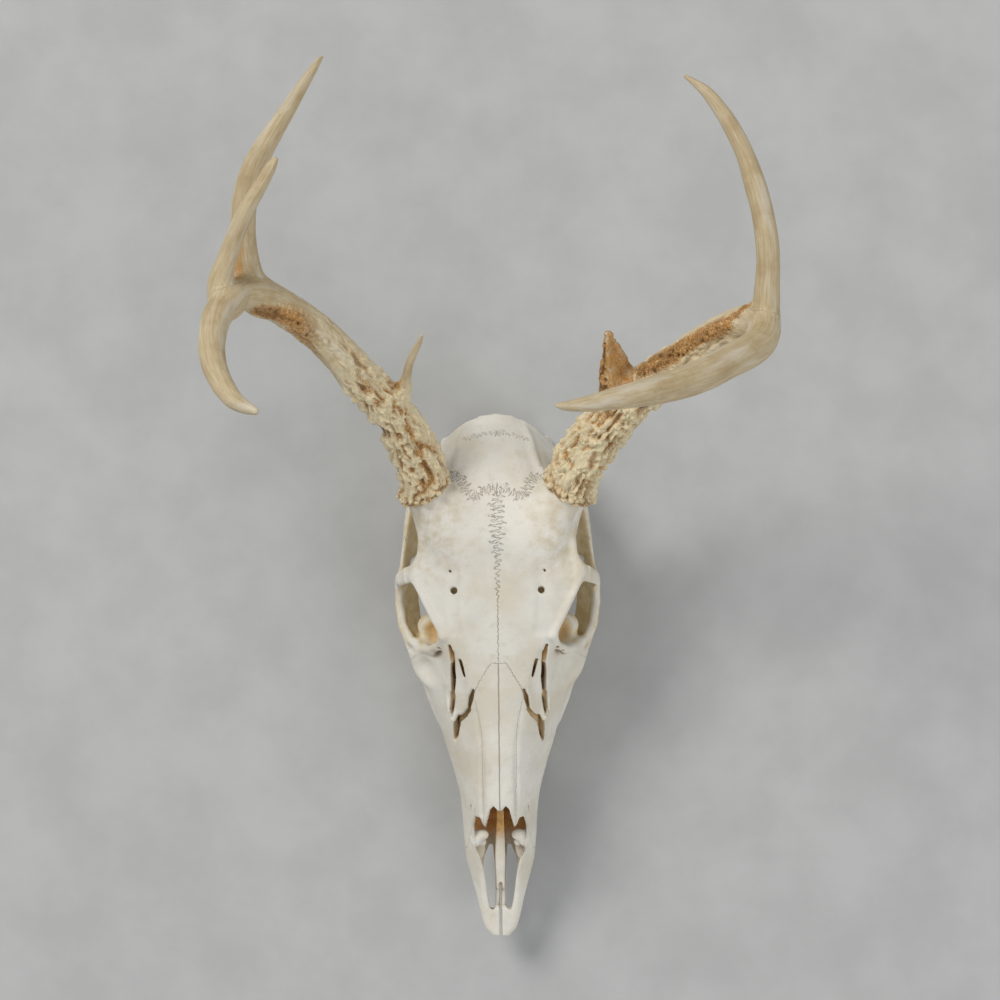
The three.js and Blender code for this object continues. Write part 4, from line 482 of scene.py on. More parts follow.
def mesh_field(f, lo, hi, h, B=4):
    """Surface nets on a lattice that is worked out only near the surface. Returns points and quads."""
    lo = np.array(lo, float)
    nb = np.ceil((np.array(hi) - lo) / (h * B)).astype(int)
    grid = [lo[i] + np.arange(nb[i] + 1) * h * B for i in range(3)]
    C = np.stack(np.meshgrid(*grid, indexing="ij"), -1).reshape(-1, 3).astype(F)
    val = evaluate(f, C, 20000).reshape(nb + 1)
    near = np.abs(val) < h * B * 1.9
    A = np.zeros(nb, bool)
    for a, b, c in CORNERS:
        A |= near[a:nb[0] + a, b:nb[1] + b, c:nb[2] + c]
    wide = np.zeros(nb + 1, bool)
    for a, b, c in CORNERS:
        wide[a:nb[0] + a, b:nb[1] + b, c:nb[2] + c] |= A
    N = (nb + 1) * B
    step = np.array([N[2], N[0] * N[2], 1], np.int64)     # s runs slowest
    V = np.ones(int(np.prod(N)), F)
    off = np.stack(np.meshgrid(*[np.arange(B)] * 3, indexing="ij"), -1).reshape(-1, 3)
    blocks = np.argwhere(wide)
    tile = (blocks[:, [1, 0, 2]] // 6) @ np.array([10 ** 6, 10 ** 3, 1])
    blocks = blocks[np.argsort(tile, kind="stable")]

    def work(group):
        idx = (group[:, None, :] * B + off[None]).reshape(-1, 3)
        V[idx @ step] = f((lo + idx * h).astype(F))
    with ThreadPoolExecutor(4) as pool:
        list(pool.map(work, np.array_split(blocks, max(1, len(blocks) * B ** 3 // 50000))))
    cells = (np.argwhere(A)[:, None, :] * B + off[None]).reshape(-1, 3)
    flat = cells @ step
    cv = np.stack([V[flat + int(np.dot(c, step))] for c in CORNERS])
    del V
    inner = (cv < 0).sum(0)
    keep = np.flatnonzero((inner > 0) & (inner < 8))
    keep = keep[np.argsort(flat[keep], kind="stable")]
    cells, flat, cv = cells[keep], flat[keep], cv[:, keep]
    acc, num = np.zeros((len(cells), 3)), np.zeros(len(cells))
    for i, ci in enumerate(CORNERS):
        for j in range(i + 1, 8):
            cj = CORNERS[j]
            if sum(abs(ci[e] - cj[e]) for e in range(3)) != 1:
                continue
            cross = (cv[i] < 0) != (cv[j] < 0)
            t = np.where(cross, cv[i] / np.where(cross, cv[i] - cv[j], 1), 0)
            acc += np.where(cross[:, None], np.array(ci) + t[:, None] * (np.array(cj) - np.array(ci)), 0)
            num += cross
    verts = lo + (cells + acc / num[:, None]) * h
    quads = []
    for axis in range(3):
        u, w = int(step[(axis + 1) % 3]), int(step[(axis + 2) % 3])
        end = CORNERS.index(tuple(int(e == axis) for e in range(3)))
        cross = (cv[0] < 0) != (cv[end] < 0)
        e = flat[cross]
        q = np.stack([e - u - w, e - w, e, e - u], 1)
        at = np.searchsorted(flat, q)
        at = np.minimum(at, len(flat) - 1)
        good = (flat[at] == q).all(1)
        at, turn = at[good], (cv[0][cross] >= 0)[good]
        at[turn] = at[turn][:, ::-1]
        quads.append(at)
    return verts.astype(F), np.concatenate(quads)


def gradient(f, P, e):
    g = np.zeros_like(P)
    for k in ((1, -1, -1), (-1, -1, 1), (-1, 1, -1), (1, 1, 1)):
        k = np.array(k, F)
        g += k * evaluate(f, P + k * F(e))[:, None]
    return g / (np.linalg.norm(g, axis=1)[:, None] + 1e-9)


def mesh_normals(v, q):
    n = np.cross(v[q[:, 2]] - v[q[:, 0]], v[q[:, 3]] - v[q[:, 1]])
    out = np.zeros_like(v)
    for k in range(4):
        for e in range(3):
            out[:, e] += np.bincount(q[:, k], n[:, e], len(v)).astype(F)
    return out / (np.linalg.norm(out, axis=1)[:, None] + 1e-12)


def largest_part(v, q):
    """Leaves out crumbs: keeps the points that hang together with most of the mesh."""
    label = np.arange(len(v))
    for _ in range(400):
        m = label[q].min(1)
        new = label.copy()
        for k in range(4):
            np.minimum.at(new, q[:, k], m)
        new = new[new]
        if (new == label).all():
            break
        label = new
    best = np.bincount(label).argmax()
    return label == best


# ------------------------------------------------------------------ noise
def hashed(i, j, k, seed):
    with np.errstate(over="ignore"):
        h = (i.astype(np.uint32) * np.uint32(0x8DA6B343)) ^ (j.astype(np.uint32) * np.uint32(0xD8163841)) ^ (k.astype(np.uint32) * np.uint32(0xCB1AB31F)) ^ np.uint32(seed * 7919 + 13)
        h ^= h >> np.uint32(15)
        h *= np.uint32(0x85EBCA6B)
        h ^= h >> np.uint32(13)
        h *= np.uint32(0xC2B2AE35)
        h ^= h >> np.uint32(16)
    return h.astype(F) / F(4294967296.0)


def value_noise(p, seed=1):
    i = np.floor(p).astype(np.int64)
    t = (p - i).astype(F)
    t = t * t * (3 - 2 * t)
    i = i.astype(np.int32)
    out = 0
    for a, b, c in CORNERS:
        w = (t[:, 0] if a else 1 - t[:, 0]) * (t[:, 1] if b else 1 - t[:, 1]) * (t[:, 2] if c else 1 - t[:, 2])
        out = out + w * hashed(i[:, 0] + a, i[:, 1] + b, i[:, 2] + c, seed)
    return out


def fractal(p, octaves=3, seed=1):
    out, total, amp = 0, 0, 1.0
    for o in range(octaves):
        out = out + amp * value_noise(p * (2.03 ** o) + 17.3 * o, seed + o)
        total += amp
        amp *= 0.5
    return out / total


def cells_noise(p, seed=1):
    """Distance to the nearest and second nearest seed, and the nearest one's own number."""
    i = np.floor(p).astype(np.int32)
    f1 = np.full(len(p), 9, F)
    f2 = np.full(len(p), 9, F)
    own = np.zeros(len(p), F)
    for a in (-1, 0, 1):
        for b in (-1, 0, 1):
            for c in (-1, 0, 1):
                x, y, z = i[:, 0] + a, i[:, 1] + b, i[:, 2] + c
                hx, hy, hz = hashed(x, y, z, seed), hashed(x, y, z, seed + 1), hashed(x, y, z, seed + 2)
                d = np.sqrt((x + hx - p[:, 0]) ** 2 + (y + hy - p[:, 1]) ** 2 + (z + hz - p[:, 2]) ** 2).astype(F)
                closer = d < f1
                f2 = np.where(closer, f1, np.minimum(f2, d))
                own = np.where(closer, hashed(x, y, z, seed + 3), own)
                f1 = np.where(closer, d, f1)
    return f1, f2, own


def step(x, a, b):
    t = np.clip((x - a) / (b - a), 0, 1)
    return t * t * (3 - 2 * t)


# ------------------------------------------------------------------ meshes in Blender
def to_frame(v):
    return (v + np.array([SHIFT_X, NOSE_Y + SHIFT_Y, 0], F)) * F(0.001)


LOW = np.array([c for c in CAD_BOX[0]], float)
HIGH = np.array([c for c in CAD_BOX[1]], float)


def add_piece(name, node, material, v, n, quads, attributes):
    """One piece of a larger surface, with the surface's own normals, so that it meets its neighbours smoothly."""
    used, local = np.unique(quads, return_inverse=True)
    local = local.reshape(quads.shape).astype(np.int32)
    co = np.clip(to_frame(v[used]), LOW, HIGH).astype(F)
    me = bpy.data.meshes.new(name)
    me.vertices.add(len(used))
    me.vertices.foreach_set("co", co.ravel())
    me.loops.add(local.size)
    me.loops.foreach_set("vertex_index", local.ravel())
    me.polygons.add(len(local))
    me.polygons.foreach_set("loop_start", np.arange(0, local.size, 4, dtype=np.int32))
    me.update(calc_edges=True)
    me.polygons.foreach_set("use_smooth", np.ones(len(local), bool))
    for key, values in attributes.items():
        a = me.attributes.new(key, "FLOAT_VECTOR", "POINT")
        a.data.foreach_set("vector", np.ascontiguousarray(values[used], dtype=F).ravel())
    me.normals_split_custom_set_from_vertices(n[used].tolist())
    me.materials.append(material)
    ob = bpy.data.objects.new(name, me)
    bpy.context.scene.collection.objects.link(ob)
    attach(ob, "root")
    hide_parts(node)
    return ob


# ------------------------------------------------------------------ shader helper
def lin(code):
    c = [int(code[i:i + 2], 16) / 255 for i in (1, 3, 5)]
    return tuple(x / 12.92 if x <= 0.04045 else ((x + 0.055) / 1.055) ** 2.4 for x in c) + (1.0,)


class Graph:
    def __init__(self, name):
        self.mat = bpy.data.materials.new(name)
        self.mat.use_nodes = True
        self.nt = self.mat.node_tree
        self.nt.nodes.clear()

    def node(self, kind, **props):
        n = self.nt.nodes.new(kind)
        for k, v in props.items():
            setattr(n, k, v)
        return n

    def put(self, socket, value):
        if isinstance(value, bpy.types.NodeSocket):
            self.nt.links.new(value, socket)
        else:
            socket.default_value = value

    def math(self, op, a, b=None, c=None, clamp=False):
        n = self.node("ShaderNodeMath", operation=op, use_clamp=clamp)
        for i, v in enumerate((a, b, c)):
            if v is not None:
                self.put(n.inputs[i], v)
        return n.outputs[0]

    def add(self, a, b): return self.math("ADD", a, b)
    def sub(self, a, b): return self.math("SUBTRACT", a, b)
    def mul(self, a, b): return self.math("MULTIPLY", a, b)

    def vec(self, op, a, b=None, out="Vector"):
        n = self.node("ShaderNodeVectorMath", operation=op)
        self.put(n.inputs[0], a)
        if b is not None:
            self.put(n.inputs["Scale"] if op == "SCALE" else n.inputs[1], b)
        return n.outputs[out]

    def split(self, v):
        n = self.node("ShaderNodeSeparateXYZ")
        self.put(n.inputs[0], v)
        return n.outputs

    def join(self, x, y, z):
        n = self.node("ShaderNodeCombineXYZ")
        for i, v in enumerate((x, y, z)):
            self.put(n.inputs[i], v)
        return n.outputs[0]

    def noise(self, v, scale, detail=2.0, rough=0.5, distortion=0.0):
        n = self.node("ShaderNodeTexNoise")
        self.put(n.inputs["Vector"], v)
        for k, x in (("Scale", scale), ("Detail", detail), ("Roughness", rough), ("Distortion", distortion)):
            n.inputs[k].default_value = x
        return n.outputs["Fac"] if "Fac" in n.outputs else n.outputs[0]

    def cells(self, v, scale, feature="F1", randomness=1.0):
        n = self.node("ShaderNodeTexVoronoi", feature=feature)
        self.put(n.inputs["Vector"], v)
        n.inputs["Scale"].default_value = scale
        n.inputs["Randomness"].default_value = randomness
        return n.outputs["Distance"]

    def ramp(self, v, a, b, lo=0.0, hi=1.0):
        n = self.node("ShaderNodeMapRange", interpolation_type="SMOOTHSTEP")
        self.put(n.inputs["Value"], v)
        for k, x in (("From Min", a), ("From Max", b), ("To Min", lo), ("To Max", hi)):
            self.put(n.inputs[k], x)
        return n.outputs["Result"]

    def mix(self, fac, a, b, blend="MIX"):
        n = self.node("ShaderNodeMix", data_type="RGBA", blend_type=blend)
        self.put(n.inputs[0], fac)
        self.put(n.inputs[6], a)
        self.put(n.inputs[7], b)
        return n.outputs[2]

    def attr(self, name):
        n = self.node("ShaderNodeAttribute", attribute_name=name)
        return n.outputs["Vector"]

    def finish(self, color, rough, height, specular=0.4):
        b = self.node("ShaderNodeBsdfPrincipled")
        self.put(b.inputs["Base Color"], color)
        self.put(b.inputs["Roughness"], rough)
        b.inputs["Specular IOR Level"].default_value = specular
        if height is not None:
            n = self.node("ShaderNodeBump")
            n.inputs["Strength"].default_value = 1.0
            n.inputs["Distance"].default_value = 0.001
            self.put(n.inputs["Height"], height)
            self.nt.links.new(n.outputs[0], b.inputs["Normal"])
        o = self.node("ShaderNodeOutputMaterial")
        self.nt.links.new(b.outputs[0], o.inputs[0])
        return self.mat


def meander(g, u, v, amp, period, warp_at, width):
    """How near a point is to a winding suture line: u along it, v across it, in millimetres."""
    wu = g.mul(g.sub(g.noise(warp_at, 0.42, 2.0), 0.5), 3.4)
    wv = g.mul(g.mul(g.sub(g.noise(g.vec("ADD", warp_at, (37.0, 11.0, 5.0)), 0.33, 2.0), 0.5), 1.7), amp)
    phase = g.mul(g.add(u, wu), 2 * math.pi / period)
    shape = g.mul(amp, g.add(g.math("SINE", phase), g.mul(g.math("SINE", g.add(g.mul(phase, 0.43), 1.7)), 0.35)))
    slope = g.mul(g.mul(g.math("COSINE", phase), amp), 2 * math.pi / period)
    away = g.math("ABSOLUTE", g.sub(g.add(v, wv), shape))
    away = g.math("DIVIDE", away, g.math("SQRT", g.add(g.mul(slope, slope), 1.0)))
    return g.ramp(away, width * 0.35, width, 1.0, 0.0)


def bone_material(name):
    g = Graph(name)
    at = g.node("ShaderNodeTexCoord").outputs["Object"]
    p = g.vec("SUBTRACT", g.vec("SCALE", at, 1000.0), (SHIFT_X, NOSE_Y + SHIFT_Y, 0.0))
    x, s, z = g.split(p)
    stain, tan, tooth = g.split(g.attr("tone"))
    su, sv, sa = g.split(g.attr("suture"))
    crev, occ, edge = g.split(g.attr("shade"))
    broad = g.noise(p, 0.035, 3.0, 0.55)
    mid = g.noise(p, 0.16, 4.0, 0.6)
    fine = g.noise(p, 0.9, 3.0, 0.6)
    col = g.mix(g.ramp(broad, 0.38, 0.66), lin("#e9e4d8"), lin("#dcd4c1"))
    col = g.mix(g.mul(g.ramp(mid, 0.52, 0.78), 0.5), col, lin("#cfc4ab"))
    col = g.mix(g.mul(g.ramp(g.noise(g.vec("ADD", p, (50.0, 3.0, 9.0)), 0.07, 3.0, 0.6), 0.5, 0.75), 0.35), col, lin("#d9d8d6"))
    col = g.mix(g.mul(g.ramp(fine, 0.5, 0.85), 0.22), col, lin("#b9ac92"))
    # warm tan of the forehead behind the eyes and by the antlers
    ax = g.math("ABSOLUTE", x)
    brow = g.mul(g.ramp(g.math("ABSOLUTE", g.sub(s, 214.0)), 8.0, 32.0, 1.0, 0.0), g.ramp(ax, 8.0, 30.0))
    col = g.mix(g.mul(g.mul(brow, g.ramp(mid, 0.35, 0.65)), 0.55), col, lin("#c9b896"))
    # inner faces
    col = g.mix(g.mul(g.math("MINIMUM", g.mul(tan, 1.0), 1.0), g.ramp(mid, 0.2, 0.6, 0.75, 1.0)), col,
                g.mix(g.ramp(mid, 0.35, 0.7), lin("#dfcda3"), lin("#cfb482")))
    col = g.mix(stain, col, g.mix(g.ramp(g.noise(p, 0.3, 3.0), 0.35, 0.7), lin("#eebd78"), lin("#cc9656")))
    # teeth
    streak = g.noise(g.vec("MULTIPLY", p, (1.2, 1.2, 0.22)), 1.0, 3.0)
    col = g.mix(tooth, col, g.mix(g.ramp(streak, 0.4, 0.7), lin("#e2d8c0"), lin("#b59a6c")))
    col = g.mix(g.mul(g.math("MULTIPLY", g.ramp(z, 0.15, 1.2), g.ramp(z, 3.0, 1.6)), g.mul(tooth, 0.8)), col, lin("#6b4a28"))
    # painted shade: tight hollows are darkened
    col = g.mix(g.mul(crev, 0.75), col, lin("#8a6f47"))
    # sutures
    amp = g.add(g.ramp(s, 176.0, 190.0, 0.22, 1.0), g.ramp(s, 190.0, 222.0, 0.0, 2.3))
    amp = g.mul(amp, g.ramp(s, 236.5, 232.0))
    mid_line = meander(g, s, x, amp, 2.7, p, 0.34)
    mid_line = g.mul(g.mul(mid_line, g.ramp(s, 147.0, 149.0)), g.ramp(s, 237.5, 236.0))
    mid_line = g.mul(mid_line, g.ramp(z, 80.0, 84.0))
    side_line = g.mul(meander(g, su, sv, sa, 2.0, p, 0.30), g.ramp(g.math("ABSOLUTE", sv), 4.6, 4.0))
    broken = g.ramp(g.noise(p, 0.8, 2.0), 0.30, 0.52, 0.25, 1.0)
    nasal = g.mul(g.mul(g.ramp(g.math("ABSOLUTE", g.add(x, g.mul(g.sub(g.noise(p, 0.12, 1.0), 0.5), 0.9))), 0.16, 0.42, 1.0, 0.0),
                        g.mul(g.ramp(s, 147.5, 146.5), g.ramp(s, 66.0, 68.0))), g.ramp(z, 62.0, 66.0))
    weak = g.ramp(g.math("ABSOLUTE", g.add(edge, 0.0)), 0.0, 1.0)
    line = g.math("MAXIMUM", g.mul(g.math("MAXIMUM", mid_line, g.mul(side_line, weak)), broken), nasal)
    col = g.mix(g.mul(line, 0.62), col, lin("#75624a"))
    pores = g.ramp(g.cells(p, 1.5), 0.10, 0.24, 1.0, 0.0)
    pores = g.mul(pores, g.ramp(g.noise(p, 0.22, 2.0), 0.58, 0.78))
    col = g.mix(g.mul(pores, 0.28), col, lin("#a3926e"))
    height = g.mul(g.sub(fine, 0.5), 0.10)
    height = g.add(height, g.mul(g.sub(g.noise(p, 3.4, 3.0, 0.6), 0.5), 0.05))
    height = g.add(height, g.mul(g.sub(mid, 0.5), 0.35))
    height = g.sub(height, g.mul(line, 0.16))
    height = g.sub(height, g.mul(pores, 0.12))
    rough = g.add(g.ramp(fine, 0.3, 0.7, 0.50, 0.66), g.mul(stain, 0.12))
    return g.finish(col, rough, height, 0.35)


def antler_material(name):
    g = Graph(name)
    brown, crev, rough = g.split(g.attr("look"))
    c = g.attr("grain")
    at = g.node("ShaderNodeTexCoord").outputs["Object"]
    p = g.vec("SCALE", at, 1000.0)
    streak = g.noise(g.vec("MULTIPLY", c, (0.045, 1.0, 1.0)), 1.0, 4.0, 0.6)
    fine = g.noise(g.vec("MULTIPLY", c, (0.22, 3.0, 3.0)), 1.0, 3.0, 0.6)
    blot = g.noise(p, 0.07, 3.0, 0.55)
    grain = g.noise(p, 1.6, 4.0, 0.65)
    smooth = g.mix(g.ramp(streak, 0.35, 0.68), lin("#cdbc99"), lin("#bca67f"))
    smooth = g.mix(g.mul(g.ramp(blot, 0.45, 0.7), 0.5), smooth, lin("#a88c60"))
    smooth = g.mix(g.ramp(g.noise(g.vec("MULTIPLY", c, (0.03, 0.16, 0.16)), 1.0, 2.0), 0.5, 0.7, 0.0, 0.55), smooth, lin("#d9d0be"))
    smooth = g.mix(g.mul(g.ramp(fine, 0.52, 0.8), 0.35), smooth, lin("#9c8056"))
    cream = g.mix(g.ramp(grain, 0.35, 0.7), lin("#faefcf"), lin("#ecd6a2"))
    col = g.mix(rough, smooth, cream)
    # the brown and dark marks are mostly stain and pits, and in part painted shade: fork hollows, tight creases, the
    # fork's crotch
    stain = g.mix(g.ramp(grain, 0.3, 0.7), lin("#d9a352"), lin("#ab6f29"))
    col = g.mix(g.math("MINIMUM", g.mul(brown, g.ramp(grain, 0.3, 0.62, 0.45, 1.15)), 1.0), col, stain)
    col = g.mix(crev, col, lin("#5e3c18"))
    specks = g.mul(g.ramp(g.cells(g.vec("MULTIPLY", c, (0.35, 0.9, 0.9)), 1.0), 0.06, 0.2, 1.0, 0.0), g.ramp(g.noise(p, 0.15, 2.0), 0.5, 0.65))
    col = g.mix(g.mul(specks, 0.5), col, lin("#6b4d28"))
    height = g.add(g.mul(g.sub(streak, 0.5), 0.30), g.mul(g.sub(fine, 0.5), 0.12))
    height = g.add(height, g.mul(g.mul(g.sub(grain, 0.5), rough), 0.7))
    height = g.sub(height, g.mul(specks, 0.08))
    return g.finish(col, g.ramp(streak, 0.3, 0.7, 0.44, 0.60), height, 0.4)


BONE = bone_material("bone_ivory")
ANTLER = antler_material("antler")

# ------------------------------------------------------------------ the bone
sv, sq = mesh_field(skull_field, [-60.0, -7.5, -4.2], [60.0, 285.0, 117.0], SKULL_GRID)
keep = largest_part(sv, sq)
sq = sq[keep[sq].all(1)]
sn = gradient(skull_field, sv, 0.45)
off = evaluate(skull_field, sv)
sv = sv - sn * np.clip(off, -0.3, 0.3)[:, None]
sv[:, 2] = np.maximum(sv[:, 2], 0)

SAX, SS, SZ = np.abs(sv[:, 0]), sv[:, 1], sv[:, 2]
beneath = -evaluate(lambda P: envelope(np.abs(P[:, 0]), P[:, 1], P[:, 2]), sv)
occlusion = 0
for r, w in ((1.6, 0.35), (5.0, 0.35), (12.0, 0.3)):
    occlusion = occlusion + w * (1 - np.clip(evaluate(skull_field, sv + sn * F(r)) / r, 0, 1))
tight = 1 - np.clip(evaluate(skull_field, sv + sn * F(1.2)) / 1.2, 0, 1)

# inside of the nose and of the slits beside it
in_nose = step(beneath, 0.8, 3.2) * step(SS, 158, 154) * step(SZ, 27.5, 31)
front = step(SS, 48, 59)
stain = in_nose * (0.12 + 0.88 * front) * step(occlusion, 0.05, 0.3)
stain = np.maximum(stain, step(beneath, 2, 6) * step(SS, 158, 150) * step(SZ, 34, 40) * front)
stain *= 1 - 0.95 * step(SZ, 42.5, 44.5) * step(SAX, 4.5, 5.5) * step(SS, 59.5, 57)
inward = -sn[:, 0] * np.sign(sv[:, 0])
behind = in_nose * step(SS, 94, 106)
stain *= 1 - 0.72 * behind
cup = np.exp(-(((SAX - 33) / 6.5) ** 2 + ((SS - 163.5) / 7) ** 2 + ((SZ - 69) / 8) ** 2))
orbit = step(SAX, 13, 19) * step(SS, 153, 160) * step(SS, 214, 196) * step(SZ, 96, 90) * step(SZ, 38, 46)
tan = orbit * step(occlusion, 0.16, 0.42)
jugal = step(SZ, 40, 46) * step(SS, 152, 164) * step(SS, 206, 194) * step(SAX, 35, 38) * step(inward, 0.05, 0.45) * step(SZ, 92, 80) * (1 - 0.8 * step(SZ, 57.5, 59.5) * step(SZ, 66, 62))
arch = step(SS, 190, 197) * step(SS, 246, 236) * step(SAX, 33, 37) * step(SZ, 66, 60) * step(inward, -0.35, 0.2)
shelf = step(SZ, 46, 52) * step(SAX, 23, 26) * step(SAX, 42.5, 39.5) * step(SS, 154, 158) * step(SS, 177, 172) * step(SZ, 72, 68)
shelf_rim = np.exp(-((np.hypot(SAX - 33, SS - 163.5) - 7.2) / 1.1) ** 2) * step(sn[:, 2], 0.2, 0.7)
tan = np.clip(np.maximum(np.maximum(tan, 0.95 * jugal), np.maximum(0.8 * arch, 0.9 * shelf * (1 - 0.8 * shelf_rim))), 0, 1)
tan = np.maximum(tan, behind * step(occlusion, 0.05, 0.3))
stain = np.clip(np.maximum(stain, 0.75 * step(cup, 0.3, 0.75) * (1 - shelf_rim)), 0, 1)
tooth = step(SZ, 13.5, 11.0) * step(SS, 86, 89) * step(SS, 169, 167) * step(SAX, 15, 18)
base = step(SZ, 60, 30) * step(SS, 170, 200)
tan = np.maximum(tan, 0.35 * base * step(occlusion, 0.2, 0.5))
tone = np.stack([stain, tan, tooth], 1)
# painted shade: bone closed in by other bone, a little way out from its surface, is darkened
crevice_shade = step(tight, 0.25, 0.8) * step(occlusion, 0.3, 0.6) * (1 - stain)

# sutures, in the plan (|x|, s) or from the side (s, z), with how far the line swings and how clear it is
SUTURES = [
    ("top", [[0.2, 236.6], [4, 237], [7.7, 235.2], [11.4, 232.6], [14.6, 234.4], [17.4, 241], [22.2, 244.4], [27, 243.4]], 2.3, 1.0),
    ("top", [[0, 265.6], [6, 266], [11, 264.4], [17, 262.6]], 1.3, 0.6),
    ("top", [[0.4, 147.2], [3.6, 147.6], [6.4, 143.6], [8.8, 139.4], [12.6, 132.6]], 0.25, 0.9),
    ("top", [[12.2, 127], [9.6, 112], [9.2, 104], [9.1, 84], [9.0, 66], [8.8, 60]], 0.12, 0.9),
    ("side", [[45, 26], [47, 38], [56, 48], [65, 57], [71, 62]], 0.3, 0.55),
    ("side", [[152, 72], [148, 60], [141, 50], [136, 42]], 0.5, 0.5),
    ("side", [[237, 84], [232, 76], [222, 68], [212, 60], [208, 52]], 0.8, 0.6),
    ("side", [[246, 80], [248, 70], [254, 58], [257, 46]], 0.7, 0.5),
    ("side", [[192, 78], [190, 70], [189, 62]], 0.6, 0.5),
    ("side", [[208, 50], [203, 54], [199, 59]], 0.4, 0.5),
]


def suture_field():
    out = np.tile(np.array([0, 90, 0.2], F), (len(sv), 1))
    clear = np.zeros(len(sv), F)
    nearest = np.full(len(sv), 90, F)
    nx = sn * np.stack([np.sign(sv[:, 0]), np.ones(len(sv)), np.ones(len(sv))], 1)
    Q = np.stack([SAX, SS, SZ], 1)
    for where, points, swing, clearness in SUTURES:
        P = np.array(points, float)
        n = np.linalg.norm(np.diff(P, axis=0), axis=1)
        L = np.r_[0, np.cumsum(n)]
        t = np.linspace(0, L[-1], int(L[-1] / 1.5) + 2)
        line = np.stack([np.interp(t, L, P[:, 0]), np.interp(t, L, P[:, 1])], 1)
        # the third coordinate is taken from the surface
        a, b, c = (SAX, SS, SZ) if where == "top" else (SS, SZ, SAX)
        m = (a > line[:, 0].min() - 3) & (a < line[:, 0].max() + 3) & (b > line[:, 1].min() - 3) & (b < line[:, 1].max() + 3)
        am, bm, cm = a[m], b[m], c[m]
        up = []
        for q in line:
            k = np.hypot(am - q[0], bm - q[1]) < 1.2
            up.append(cm[k].max() if k.any() else np.nan)
        up = np.array(up)
        good = ~np.isnan(up)
        if good.sum() < 2:
            continue
        up = np.interp(t, t[good], up[good])
        curve = np.stack([line[:, 0], line[:, 1], up], 1) if where == "top" else np.stack([up, line[:, 0], line[:, 1]], 1)
        lo, hi = curve.min(0) - 6, curve.max(0) + 6
        idx = np.flatnonzero(((Q > lo) & (Q < hi)).all(1))
        q, nn = Q[idx], nx[idx]
        best, bu, bs, over = np.full(len(idx), 1e9), np.zeros(len(idx)), np.zeros(len(idx)), np.zeros(len(idx))
        run = 0.0
        for A, B in zip(curve[:-1], curve[1:]):
            e = B - A
            l = np.linalg.norm(e)
            e = e / l
            r = q - A
            w = r @ e
            wc = np.clip(w, 0, l)
            d = np.linalg.norm(r - wc[:, None] * e, axis=1)
            across = (r * np.cross(nn, e)).sum(1)
            k = d < best
            best[k], bu[k], bs[k], over[k] = d[k], (run + wc)[k], np.sign(across)[k], np.abs(w - wc)[k]
            run += l
        over = np.where((bu < 1e-6) | (bu > run - 1e-6), over, 0)
        k = best < nearest[idx]
        j = idx[k]
        nearest[j] = best[k]
        out[j, 0] = bu[k] + np.where(sv[j, 0] > 0, 0, 53)
        out[j, 1] = best[k] * bs[k]
        out[j, 2] = swing
        clear[j] = (clearness * np.clip(1 - over, 0, 1) * np.clip(2 + swing - best, 0, 1))[k]
    return out, clear


suture, clear = suture_field()
shade = np.stack([crevice_shade, occlusion, clear], 1)


def inside(poly, a, b):
    P = np.array(poly, float)
    out = np.zeros(len(a), bool)
    for (x0, y0), (x1, y1) in zip(P, np.roll(P, -1, 0)):
        if y0 != y1:
            out ^= ((y0 > b) != (y1 > b)) & (a < x0 + (x1 - x0) * (b - y0) / (y1 - y0))
    return out


NASAL = [[-9.1, 57], [9.1, 57], [9.1, 105], [13.0, 122], [13.3, 132], [9, 139.3], [6, 144.6], [3, 148], [-3, 148], [-6, 144.6], [-9, 139.3], [-13.3, 132], [-13.0, 122], [-9.1, 105]]
NASAL_UNDER = [[50, 48], [110, 66], [150, 80], [150, 120], [50, 120]]
FRONTAL = [[-13.4, 132], [13.4, 132], [20, 146.5], [24.3, 157], [31, 159.5], [60, 168], [60, 237.4], [-60, 237.4], [-60, 168], [-31, 159.5], [-24.3, 157], [-20, 146.5]]
FRONTAL_SIDE = [[125, 77], [190, 79], [240, 84], [240, 130], [125, 130]]
OCCIPITAL = [[254, -5], [300, -5], [300, 130], [266, 130], [266, 88], [254, 0]]
TIP = [[-20, 10], [44, 10], [44, 24], [70, 66], [70, 90], [-20, 90]]

fc = sv[sq].mean(1)
fx, fs, fz = fc[:, 0], fc[:, 1], fc[:, 2]
rules = [
    ("nasal", inside(NASAL, fx, fs) & inside(NASAL_UNDER, fs, fz), True),
    ("frontal", inside(FRONTAL, fx, fs) & inside(FRONTAL_SIDE, fs, fz), True),
    ("zygomatic", (np.abs(fx) > 36.5) & (fs > 152) & (fs < 214) & (fz > 38) & (fz < 79), True),
    ("occipital", (fs > 173) & inside(OCCIPITAL, fs, fz), False),
    ("parietal", (fs > 237.4) & (fz > 68), False),
    ("temporal", (fs > 209) & (np.abs(fx) > 15) & (fz < 68), True),
    ("sphenoid", fs > 173, False),
    ("vomer", (np.abs(fx) < 1.7) & (fs > 34) & (fz > 29.6) & (fz < 80), False),
    ("premaxilla", inside(TIP, fs, fz), True),
    ("maxilla", np.ones(len(fx), bool), True),
]
free = np.ones(len(fx), bool)
for name, mask, paired in rules:
    mask = mask & free
    free &= ~mask
    for side, half in (("left", fx >= 0), ("right", fx < 0)) if paired else (("", True),):
        node = name + ("_" + side if side else "")
        add_piece("bone_" + node, node, BONE, sv, sn, sq[mask & half], {"tone": tone, "suture": suture, "shade": shade})


# ------------------------------------------------------------------ the antlers
def rough_along(side, branch, L):
    """How pearled the antler is at a distance L from its burr."""
    if branch == "brow_tine":
        return step(L, 24, 4) * 0.8
    if branch != "beam":
        return np.zeros_like(L)
    if side == "left":
        return np.maximum(step(L, 128, 92), 0.42 * step(L, 172, 140)) * step(L, -6, -2)
    return np.maximum(step(L, 128, 78), 0.3 * step(L, 165, 120))


